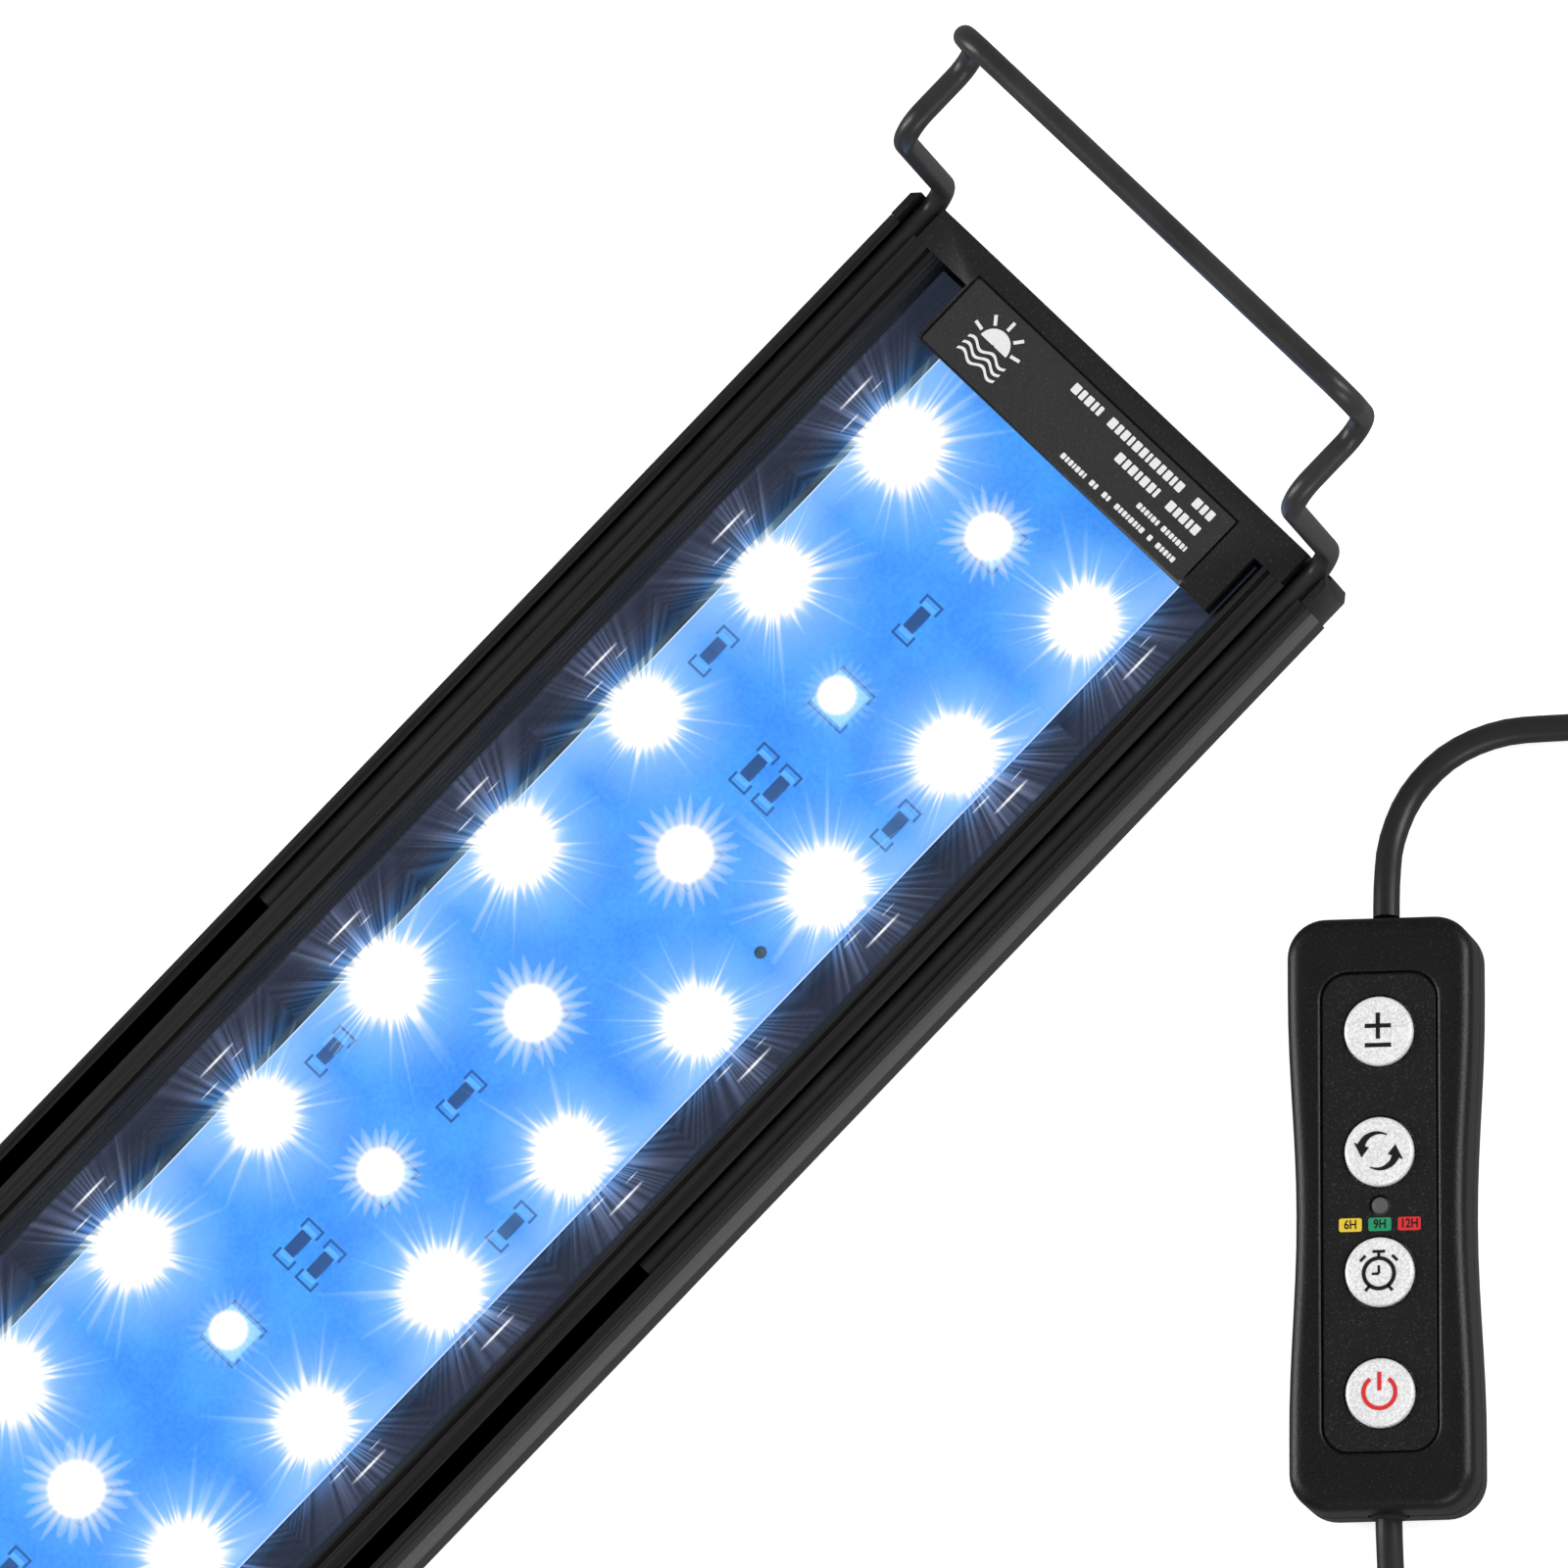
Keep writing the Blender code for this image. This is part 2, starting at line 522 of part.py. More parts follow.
def make_controller_fittings(finishes):
    """The shell screws from below and the bushes that grip the cords."""
    index = 0
    for x in (-SHELL_SCREW_X, SHELL_SCREW_X):
        for y in (-SHELL_SCREW_Y, SHELL_SCREW_Y):
            index += 1
            start = from_controller((x, y, 1.0))
            profile = [(0.0, 1.9), (1.3, 1.9), (1.3, 0.9), (7.4, 0.9)]
            turned(f"shell_screw_{index}", profile, start, (0, 0, 1), finishes["steel"], 12)
    for name, side in (("plug_side_bush", 1), ("lamp_side_bush", -1)):
        start = from_controller((0.0, side * 32.4, CORD_EXIT_Z))
        ahead = Vector(from_controller((0.0, side, 0.0))) - Vector(from_controller((0.0, 0.0, 0.0)))
        profile = [(0.0, 2.9), (0.9, 2.9), (0.9, 2.2), (3.3, 2.2)]
        turned(name, profile, start, ahead, finishes["rubber"], 12)


def smooth_path(route, spacing):
    """Points at an even spacing along a smooth curve through the route's points."""
    knots = [Vector(point) for point in route]
    before_first = knots[0] * 2 - knots[1]
    after_last = knots[-1] * 2 - knots[-2]
    padded = [before_first, *knots, after_last]
    fine = []
    for p0, p1, p2, p3 in zip(padded, padded[1:], padded[2:], padded[3:]):
        for step in range(16):
            t = step / 16
            bend = (p0 * 2 - p1 * 5 + p2 * 4 - p3) * t * t + (p1 * 3 - p0 - p2 * 3 + p3) * t * t * t
            fine.append((p1 * 2 + (p2 - p0) * t + bend) / 2)
    fine.append(knots[-1])
    steps = [(after - before).length for before, after in zip(fine, fine[1:])]
    count = max(2, round(sum(steps) / spacing))
    wanted = sum(steps) / count
    points, walked = [fine[0]], 0.0
    for before, after, length in zip(fine, fine[1:], steps):
        while walked + length >= wanted * len(points) and len(points) < count:
            points.append(before.lerp(after, (wanted * len(points) - walked) / length))
        walked += length
    return points + [fine[-1]]


def make_ring(name, middle, size, rubber):
    """The outer shape of a coil of cord."""
    inner, outer, height = size
    sides = 32
    profile = [(inner, 0.8), (inner, height - 0.8), (inner + 0.8, height), (outer - 0.8, height)]
    profile += [(outer, height - 0.8), (outer, 0.8), (outer - 0.8, 0.0), (inner + 0.8, 0.0)]
    bm = bmesh.new()
    loops = []
    for step in range(sides):
        angle = math.tau * step / sides
        cos, sin = math.cos(angle), math.sin(angle)
        points = [(middle[0] + r * cos, middle[1] + r * sin, z) for r, z in profile]
        loops.append([bm.verts.new(place(point)) for point in points])
    for loop, following in zip(loops, loops[1:] + loops[:1]):
        for index, vert in enumerate(loop):
            after = (index + 1) % len(loop)
            bm.faces.new((vert, loop[after], following[after], following[index]))
    add_object(name, bm, rubber)


def make_cords(finishes):
    """Both cords: their free stretches, their coils and the plug."""
    cord = finishes["cord"]
    tube("lamp_cord_run", smooth_path(LAMP_CORD_ROUTE, CORD_STEP), CORD_RADIUS, 2, cord)
    make_ring("lamp_cord_coil", RING_A_MIDDLE, RING_A_SIZE, cord)
    route = COIL_TO_CONTROLLER + [from_controller(point) for point in CONTROLLER_ARRIVAL]
    tube("lamp_cord_tail", smooth_path(route, CORD_STEP), CORD_RADIUS, 2, cord)
    route = [from_controller(point) for point in CONTROLLER_DEPARTURE]
    tube("plug_cord_run", smooth_path(route, CORD_STEP), CORD_RADIUS, 2, cord)
    make_ring("plug_cord_coil", from_controller((*RING_B_LOCAL, 0.0))[:2], RING_B_SIZE, cord)
    route = [from_controller(point) for point in PLUG_ROUTE]
    tube("plug_cord_tail", smooth_path(route, CORD_STEP), CORD_RADIUS, 2, cord)
    start = Vector(from_controller(PLUG_START))
    ahead = Vector(from_controller((0.0, -1.0, 0.0))) - Vector(from_controller((0.0, 0.0, 0.0)))
    end = PLUG_TAPER + PLUG_GRIP
    profile = [(0.0, 2.1), (PLUG_TAPER, 3.4), (PLUG_TAPER, 4.6), (PLUG_TAPER + 0.6, 5.2)]
    turned("plug_body", profile + [(end - 1.0, 5.2), (end, 4.6)], start, ahead, finishes["rubber"])
    profile = [(0.0, 2.75), (PLUG_BARREL, 2.75), (PLUG_BARREL, 1.25), (1.5, 1.25)]
    turned("plug_barrel", profile, start + ahead * (end + GAP), ahead, finishes["steel"])


def build():
    """Clear the scene and make every piece."""
    for obj in list(bpy.data.objects):
        bpy.data.objects.remove(obj, do_unlink=True)
    finishes = {
        "metal": make_material("black_anodised", (0.018, 0.018, 0.019), 0.38, 0.85),
        "plastic": make_material("cap_plastic", (0.012, 0.012, 0.013), 0.5),
        "plate": make_material("label_grey", (0.03, 0.03, 0.031), 0.55),
        "wire": make_material("painted_wire", (0.016, 0.016, 0.017), 0.32, 0.3),
        "pad": make_material("thermal_grey", (0.35, 0.36, 0.38), 0.8),
        "board": make_material("board_blue", (0.03, 0.24, 0.93), 0.4),
        "white_lamp": make_material("lamp_white", (0.9, 0.92, 0.95), 0.3),
        "blue_lamp": make_material("lamp_blue_white", (0.75, 0.85, 0.98), 0.3),
        "cover": make_material("clear_sheet", (0.8, 0.86, 0.92), 0.08),
        "rubber": make_material("black_rubber", (0.014, 0.014, 0.014), 0.6),
        "cord": make_material("cord_sheath", (0.02, 0.02, 0.021), 0.45),
        "steel": make_material("zinc_steel", (0.55, 0.55, 0.56), 0.3, 1.0),
        "lead_wire_positive": make_material("lead_red", (0.5, 0.02, 0.02), 0.45),
        "lead_wire_negative": make_material("lead_black", (0.015, 0.015, 0.015), 0.45),
        "overlay": make_material("overlay_black", (0.012, 0.012, 0.013), 0.35),
        "button": make_material("button_silver", (0.72, 0.72, 0.73), 0.35, 0.2),
        "switch": make_material("switch_grey", (0.08, 0.08, 0.09), 0.5),
        "lens": make_material("lens_smoke", (0.06, 0.06, 0.065), 0.2),
        "green_board": make_material("board_green", (0.02, 0.12, 0.04), 0.45),
    }
    make_housing(finishes["metal"])
    for name, side in (("right", 1), ("left", -1)):
        make_cap(f"end_cap_{name}", side, finishes["plastic"])
        make_gasket(f"end_gasket_{name}", side, finishes["rubber"])
        make_bracket(f"bracket_{name}", side, finishes["wire"])
        for edge, hand in (("front", -1), ("rear", 1)):
            make_cap_screw(f"cap_screw_{name}_{edge}", side, hand, finishes["steel"])
    make_label_plate(finishes["plate"])
    make_light_engine(finishes)
    make_gland(finishes["rubber"])
    make_lead_wires(finishes)
    make_controller_shells(finishes["plastic"])
    make_keypad(finishes)
    make_controller_fittings(finishes)
    make_cords(finishes)


build()
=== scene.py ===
"""Looks of the aquarium light: its finishes, its detailed pieces, its cords and the studio around it."""

from __future__ import annotations

import json
import logging
import math
from dataclasses import dataclass, field
from enum import Enum
from typing import Callable, Iterable, Sequence, Union

import bmesh
import bpy
from mathutils import Matrix, Vector

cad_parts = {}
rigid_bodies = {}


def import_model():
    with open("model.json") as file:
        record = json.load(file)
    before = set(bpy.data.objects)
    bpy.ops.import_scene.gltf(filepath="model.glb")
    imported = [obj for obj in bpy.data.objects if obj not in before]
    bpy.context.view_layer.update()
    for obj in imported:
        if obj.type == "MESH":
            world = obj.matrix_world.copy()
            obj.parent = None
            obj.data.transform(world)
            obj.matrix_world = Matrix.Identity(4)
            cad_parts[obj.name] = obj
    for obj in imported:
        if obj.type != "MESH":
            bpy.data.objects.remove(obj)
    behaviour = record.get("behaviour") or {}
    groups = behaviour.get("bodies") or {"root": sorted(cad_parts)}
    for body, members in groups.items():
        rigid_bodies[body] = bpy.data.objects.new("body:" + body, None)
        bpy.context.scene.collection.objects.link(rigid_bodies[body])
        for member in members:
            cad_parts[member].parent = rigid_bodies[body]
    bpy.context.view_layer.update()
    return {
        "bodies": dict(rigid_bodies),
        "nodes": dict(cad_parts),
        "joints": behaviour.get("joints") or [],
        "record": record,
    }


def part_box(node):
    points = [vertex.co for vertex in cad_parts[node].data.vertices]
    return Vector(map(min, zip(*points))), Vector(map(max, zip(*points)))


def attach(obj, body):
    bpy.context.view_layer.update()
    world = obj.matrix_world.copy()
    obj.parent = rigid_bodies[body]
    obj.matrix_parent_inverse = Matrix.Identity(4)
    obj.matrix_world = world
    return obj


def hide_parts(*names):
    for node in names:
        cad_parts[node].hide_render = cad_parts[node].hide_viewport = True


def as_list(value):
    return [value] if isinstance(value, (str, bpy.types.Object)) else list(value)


LOG = logging.getLogger("aquarium_light")
MM = 0.001
LAMP_BODY = "lamp"

Material = bpy.types.Material
Object = bpy.types.Object
Mesh = bmesh.types.BMesh
Pair = tuple[float, float]
Triple = tuple[float, float, float]
Outline = list[Pair]
Colour = Triple
Ring = list[Vector]


# ---------------------------------------------------------------------------
# Shader graphs
# ---------------------------------------------------------------------------


class Signal:
    """A number on a shader socket; arithmetic on it adds Math nodes."""

    def __init__(self, graph: "Graph", socket: bpy.types.NodeSocket) -> None:
        """Keep the graph and the socket that carries the number."""
        self.graph = graph
        self.socket = socket

    def math(self, operation: str, *others: "Number") -> "Signal":
        """The result of a Math operation on this signal and others."""
        return self.graph.math(operation, self, *others)

    def __add__(self, other: "Number") -> "Signal":
        """Sum."""
        return self.math("ADD", other)

    __radd__ = __add__

    def __sub__(self, other: "Number") -> "Signal":
        """Difference."""
        return self.math("SUBTRACT", other)

    def __rsub__(self, other: "Number") -> "Signal":
        """Difference from a plain number."""
        return self.graph.math("SUBTRACT", other, self)

    def __mul__(self, other: "Number") -> "Signal":
        """Product."""
        return self.math("MULTIPLY", other)

    __rmul__ = __mul__

    def __truediv__(self, other: "Number") -> "Signal":
        """Quotient."""
        return self.math("DIVIDE", other)

    def __rtruediv__(self, other: "Number") -> "Signal":
        """Quotient of a plain number."""
        return self.graph.math("DIVIDE", other, self)

    def __pow__(self, other: "Number") -> "Signal":
        """Power."""
        return self.math("POWER", other)

    def __abs__(self) -> "Signal":
        """Size without sign."""
        return self.math("ABSOLUTE")

    def clamp(self, low: float, high: float) -> "Signal":
        """The signal held between two limits."""
        return self.math("MAXIMUM", low).math("MINIMUM", high)

    def step(self, start: "Number", end: "Number", low: float = 0.0, high: float = 1.0) -> "Signal":
        """A smooth step between two places, from a low to a high value.

        Args:
            start: Where the step begins.
            end: Where the step ends.
            low: The value before the step.
            high: The value after the step.

        Returns:
            The stepped signal.
        """
        sockets = {0: self, 1: start, 2: end, 3: low, 4: high}
        settings = {"interpolation_type": "SMOOTHSTEP"}
        return self.graph.signal(self.graph.node("ShaderNodeMapRange", settings, sockets), "Result")


Number = Union[float, Signal]


class Graph:
    """A material's node tree, built by expressions."""

    def __init__(self, name: str) -> None:
        """Start an empty material of the given name."""
        self.material = bpy.data.materials.new(name)
        self.material.use_nodes = True
        self.tree = self.material.node_tree
        self.tree.nodes.clear()

    def node(self, kind: str, settings: dict | None = None, inputs: dict | None = None) -> bpy.types.Node:
        """Add a node.

        Args:
            kind: The node's type.
            settings: Values of its own properties, set first.
            inputs: Values or links of its sockets, by name or number.

        Returns:
            The new node.
        """
        made = self.tree.nodes.new(kind)
        for key, value in (settings or {}).items():
            setattr(made, key, value)
        for key, value in (inputs or {}).items():
            socket = made.inputs[key]
            if isinstance(value, Signal):
                self.tree.links.new(value.socket, socket)
            elif isinstance(value, bpy.types.NodeSocket):
                self.tree.links.new(value, socket)
            else:
                socket.default_value = value
        return made

    def signal(self, node: bpy.types.Node, output: str | int = 0) -> Signal:
        """An output of a node as a signal."""
        return Signal(self, node.outputs[output])

    def math(self, operation: str, *values: Number) -> Signal:
        """The result of a Math node."""
        return self.signal(self.node("ShaderNodeMath", {"operation": operation}, dict(enumerate(values))))

    def vector(self, x: Number, y: Number, z: Number) -> bpy.types.NodeSocket:
        """A vector from three numbers."""
        return self.node("ShaderNodeCombineXYZ", None, {0: x, 1: y, 2: z}).outputs[0]

    def coordinates(self) -> tuple[Signal, Signal, Signal]:
        """The object's own coordinates, in millimetres."""
        source = self.node("ShaderNodeTexCoord").outputs["Object"]
        split = self.node("ShaderNodeSeparateXYZ", None, {0: source})
        x, y, z = (self.signal(split, axis) * (1.0 / MM) for axis in range(3))
        return x, y, z

    def noise(self, place: bpy.types.NodeSocket, scale: float, detail: float = 2.0) -> Signal:
        """Soft noise from 0 to 1 at a place."""
        inputs = {"Vector": place, "Scale": scale, "Detail": detail}
        return self.signal(self.node("ShaderNodeTexNoise", None, inputs), 0)

    def mix(self, share: Number, first: object, second: object) -> bpy.types.NodeSocket:
        """A colour between two colours."""
        inputs = {0: share, 6: self.as_colour(first), 7: self.as_colour(second)}
        return self.node("ShaderNodeMix", {"data_type": "RGBA"}, inputs).outputs[2]

    @staticmethod
    def as_colour(value: object) -> object:
        """A plain colour with its alpha, or a link as it is."""
        return (*value, 1.0) if isinstance(value, tuple) else value

    def bump(self, height: Signal, distance: float, strength: float = 1.0) -> bpy.types.NodeSocket:
        """A normal that follows a height."""
        inputs = {"Height": height, "Distance": distance, "Strength": strength}
        return self.node("ShaderNodeBump", None, inputs).outputs[0]

    def surface(self, **sockets: object) -> Material:
        """Finish the material with a Principled shader.

        Args:
            sockets: Values or links by socket name, with underscores for spaces.

        Returns:
            The finished material.
        """
        inputs = {key.replace("_", " "): self.as_colour(value) for key, value in sockets.items()}
        shader = self.node("ShaderNodeBsdfPrincipled", None, inputs)
        self.node("ShaderNodeOutputMaterial", None, {"Surface": shader.outputs[0]})
        return self.material


# ---------------------------------------------------------------------------
# Finishes
# ---------------------------------------------------------------------------


@dataclass(frozen=True)
class AnodisedMetal:
    """Black anodised aluminium with fine lines drawn along its length, a painted highlight stripe on its
    outer sides and painted shade in its wire channels.
    """

    name: str = "black_anodised"
    dark: Colour = (0.007, 0.007, 0.0075)
    light: Colour = (0.028, 0.028, 0.029)
    # Colour of the painted highlight: a lighter stripe on both outer side faces.
    painted_highlight: Colour = (0.13, 0.13, 0.13)
    line_pitch: float = 1.7

    def material(self) -> Material:
        """Build the finish."""
        graph = Graph(self.name)
        x, y, z = graph.coordinates()
        across = graph.vector(x * 0.004, y * self.line_pitch, z * self.line_pitch)
        lines = graph.noise(across, 1.0, 4.0)
        fine = graph.noise(graph.vector(x * 0.03, y * 9.0, z * 9.0), 1.0, 2.0)
        tint = graph.mix((lines * 0.7 + fine * 0.5).step(0.35, 0.85), self.dark, self.light)
        side = abs(y)
        # Painted highlight: both outer side faces are lighter in a stripe from about 7 to 11 mm up, standing
        # for light that the sides reflect.
        band = side.step(34.8, 34.95) * z.step(6.3, 7.0) * z.step(11.3, 10.9) * (lines * 0.5 + 0.5)
        # Painted shade: near-black colour, with more metal and more roughness, across the wire channels and
        # the section below them.
        sunk = side.step(30.3, 30.6) * side.step(34.3, 34.0) * z.step(14.9, 14.5)
        tint = graph.mix(sunk, graph.mix(band, tint, self.painted_highlight), (0.0006, 0.0006, 0.0006))
        roughness = (lines * 0.25 + fine * 0.2 + sunk * 0.5 + 0.22).clamp(0.2, 0.9)
        normal = graph.bump(lines * 0.6 + fine * 0.4, 0.00006, 0.6)
        return graph.surface(Base_Color=tint, Roughness=roughness, Metallic=sunk * 0.65 + 0.35, Normal=normal)


@dataclass(frozen=True)
class MouldedPlastic:
    """Moulded plastic with a fine sparked grain."""

    name: str
    colour: Colour
    roughness: float
    grain: float = 3.2
    depth: float = 0.00004
    sparkle: float = 0.35

    def material(self) -> Material:
        """Build the finish."""
        graph = Graph(self.name)
        x, y, z = graph.coordinates()
        place = graph.vector(x, y, z)
        grain = graph.noise(place, self.grain, 3.0)
        cloud = graph.noise(place, 0.35, 3.0)
        lighter = tuple(min(1.0, part * 2.2 + 0.05) for part in self.colour)
        share = (grain.step(0.56, 0.76) * self.sparkle + cloud * 0.04).clamp(0.0, 1.0)
        roughness = (cloud * 0.03 + grain * 0.12 + (self.roughness - 0.075)).clamp(0.05, 1.0)
        normal = graph.bump(grain, self.depth, 0.7)
        tint = graph.mix(share, self.colour, lighter)
        return graph.surface(Base_Color=tint, Roughness=roughness, Normal=normal)


@dataclass(frozen=True)
class CoatedWire:
    """Bent wire under a satin powder coat."""

    name: str = "powder_coated_wire"
    colour: Colour = (0.014, 0.014, 0.0145)

    def material(self) -> Material:
        """Build the finish."""
        graph = Graph(self.name)
        x, y, z = graph.coordinates()
        place = graph.vector(x, y, z)
        peel = graph.noise(place, 1.6, 2.0)
        cloud = graph.noise(place, 0.12, 2.0)
        tint = graph.mix(cloud, self.colour, (0.040, 0.040, 0.041))
        roughness = (peel * 0.12 + cloud * 0.1 + 0.24).clamp(0.1, 0.6)
        return graph.surface(Base_Color=tint, Roughness=roughness, Normal=graph.bump(peel, 0.00005, 0.5))


@dataclass(frozen=True)
class PlatedMetal:
    """Plated steel or nickel with a faint brushed cloud."""

    name: str
    colour: Colour
    roughness: float

    def material(self) -> Material:
        """Build the finish."""
        graph = Graph(self.name)
        x, y, z = graph.coordinates()
        place = graph.vector(x, y, z)
        cloud = graph.noise(place, 0.8, 3.0)
        scratch = graph.noise(graph.vector(x * 0.4, y * 7.0, z * 7.0), 1.0, 2.0)
        darker = tuple(part * 0.7 for part in self.colour)
        roughness = (cloud * 0.12 + scratch * 0.12 + (self.roughness - 0.1)).clamp(0.05, 0.8)
        normal = graph.bump(scratch, 0.00002, 0.4)
        tint = graph.mix(cloud, darker, self.colour)
        return graph.surface(Base_Color=tint, Roughness=roughness, Metallic=1.0, Normal=normal)


@dataclass(frozen=True)
class SoftRubber:
    """Matt rubber or cord sheath with a faint bloom."""

    name: str
    colour: Colour
    roughness: float = 0.5
    bloom: float = 0.5

    def material(self) -> Material:
        """Build the finish."""
        graph = Graph(self.name)
        x, y, z = graph.coordinates()
        place = graph.vector(x, y, z)
        cloud = graph.noise(place, 0.15, 3.0)
        grain = graph.noise(place, 4.0, 2.0)
        lighter = tuple(part * 1.8 + 0.006 for part in self.colour)
        tint = graph.mix(cloud * self.bloom, self.colour, lighter)
        roughness = (cloud * 0.15 + grain * 0.08 + (self.roughness - 0.1)).clamp(0.1, 1.0)
        return graph.surface(Base_Color=tint, Roughness=roughness, Normal=graph.bump(grain, 0.00003, 0.5))


@dataclass(frozen=True)
class PrintedInk:
    """A thin printed layer of one colour, slightly uneven."""

    name: str
    colour: Colour
    glow: float = 0.0

    def material(self) -> Material:
        """Build the finish."""
        graph = Graph(self.name)
        x, y, z = graph.coordinates()
        speckle = graph.noise(graph.vector(x, y, z), 5.0, 2.0)
        duller = tuple(part * 0.82 for part in self.colour)
        tint = graph.mix(speckle, duller, self.colour)
        if not self.glow:
            return graph.surface(Base_Color=tint, Roughness=0.45)
        return graph.surface(
            Base_Color=tint, Roughness=0.45, Emission_Color=tint, Emission_Strength=self.glow
        )


@dataclass(frozen=True)
class SatinKey:
    """Silver-white satin lacquer with a fine metal sparkle."""

    name: str = "silver_key"
    colour: Colour = (0.66, 0.66, 0.67)

    def material(self) -> Material:
        """Build the finish."""
        graph = Graph(self.name)
        x, y, z = graph.coordinates()
        place = graph.vector(x, y, z)
        sparkle = graph.noise(place, 3.6, 3.0)
        cloud = graph.noise(place, 0.25, 2.0)
        tint = graph.mix((sparkle * 0.9 + cloud * 0.2).step(0.35, 0.75), self.colour, (0.97, 0.97, 0.98))
        roughness = (sparkle * 0.2 + 0.28).clamp(0.2, 0.6)
        normal = graph.bump(sparkle, 0.00003, 0.5)
        return graph.surface(Base_Color=tint, Roughness=roughness, Metallic=0.15, Normal=normal)


@dataclass(frozen=True)
class LampRow:
    """Where a row of lamps stands, in millimetres, and how its glow spreads."""

    first_x: float
    pitch: float
    count: int
    offset_y: float
    core: float
    reach: float


class StarField:
    """The glow of every lamp as a pattern over the face: a white core, a crown of spikes and long rays."""

    def __init__(self, graph: Graph, side_row: LampRow, middle_row: LampRow) -> None:
        """Measure the face's coordinates from the lamps.

        Args:
            graph: The material's graph.
            side_row: The two outer rows, which lie alike on both sides of the middle.
            middle_row: The row along the middle.
        """
        self.graph = graph
        self.x, self.y, self.z = graph.coordinates()
        self.side_row = side_row
        self.middle_row = middle_row

    def nearest(self, row: LampRow, y: Signal) -> tuple[Signal, Signal, Signal, Signal]:
        """The nearest lamp's number, the distance to it and the direction from it.

        Args:
            row: The row of lamps.
            y: How far across the face the row's own line is counted from.

        Returns:
            The lamp's number, the distance, the turn from -1 to 1, and the distance along the row.
        """
        number = ((row.first_x - self.x) * (1.0 / row.pitch)).math("ROUND").clamp(0.0, row.count - 1.0)
        along = self.x - (row.first_x - number * row.pitch)
        across = y - row.offset_y
        distance = (along * along + across * across).math("SQRT")
        turn = across.math("ARCTAN2", along) * (1.0 / math.pi)
        return number, distance, turn, along

    def spikes(self, turn: Signal, seed: Signal, count: int, wander: float, least: float) -> Signal:
        """A crown of pointed spikes round a turn, from 0 between them to 1 at the tallest tips.

        Args:
            turn: The direction, from -1 to 1 for a whole turn.
            seed: A number that makes each lamp's crown its own.
            count: How many spikes there are.
            wander: How unevenly they stand.
            least: The height of the lowest spike.

        Returns:
            The crown's height at that direction.
        """
        circle = turn * math.pi
        cos, sin = circle.math("COSINE"), circle.math("SINE")
        uneven = self.graph.noise(self.graph.vector(cos * 2.2, sin * 2.2, seed), 1.0, 1.0)
        phase = (turn * (count / 2.0) + uneven * wander + seed * 0.37).math("FRACT")
        ridge = 1.0 - abs(phase * 2.0 - 1.0)
        height = self.graph.noise(self.graph.vector(cos * 4.5, sin * 4.5, seed + 9.0), 1.0, 2.0)
        return ridge * height.step(0.3, 0.7, least, 1.0)

    @staticmethod
    def flare(distance: Signal, core: Number, length: Signal) -> Signal:
        """Light that fades from 1 at a core to 0 at a length beyond it."""
        return (1.0 - (distance - core) / length).clamp(0.0, 1.0)

    def side_glow(self) -> tuple[Signal, Signal]:
        """The white glare of the outer rows, and their soft halo."""
        sign = self.y.math("SIGN")
        number, distance, turn, _ = self.nearest(self.side_row, abs(self.y))
        seed = number * 3.71 + sign * 13.0 + 20.0
        ripple = (number * 1.9 + sign * 1.3).math("SINE")
        reach = distance / (ripple * 0.07 + 0.98)
        core = self.side_row.core
        tall = self.spikes(turn, seed, 26, 2.4, 0.35)
        cusps = self.flare(reach, core - 1.5, (tall ** 1.3) * 6.2 + 2.2)
        fine = self.spikes(turn, seed + 40.0, 36, 6.0, 0.25)
        rays = self.flare(reach, core - 1.9, (fine ** 1.3) * self.side_row.reach * 1.5 + 0.9)
        glare = self.flare(reach, core - 1.3, 4.6) ** 1.9
        halo = (reach * reach * (-1.0 / 58.0)).math("EXPONENT")
        return (cusps ** 1.4) * 0.42 + (rays ** 1.15) * 0.55 + glare, halo * 0.46

    def middle_glow(self) -> tuple[Signal, Signal]:
        """The glare of the middle row, and its soft halo."""
        number, distance, turn, _ = self.nearest(self.middle_row, self.y)
        cycle = number.math("MODULO", 4.0)
        small = abs(cycle - 1.0).step(0.6, 0.4)
        large = cycle.step(1.4, 1.6)
        reach = distance / (large * 0.2 - small * 0.14 + 0.94)
        seed = number * 5.3 + 77.0
        disc = reach.step(self.middle_row.core + 0.7, self.middle_row.core - 0.6)
        crown = self.spikes(turn, seed, 24, 1.2, 0.45)
        edge = reach - crown * 2.9
        sharp = edge.step(4.35, 3.75) * (0.36 - reach * 0.025)
        soft = self.flare(reach, 1.9, crown * 3.2 + 1.6) ** 1.3
        fill = (sharp + soft * 0.45) * (1.0 - small * 0.5)
        halo = (reach * reach * (-1.0 / 30.0)).math("EXPONENT")
        return disc * 0.97 + fill, halo * 0.2


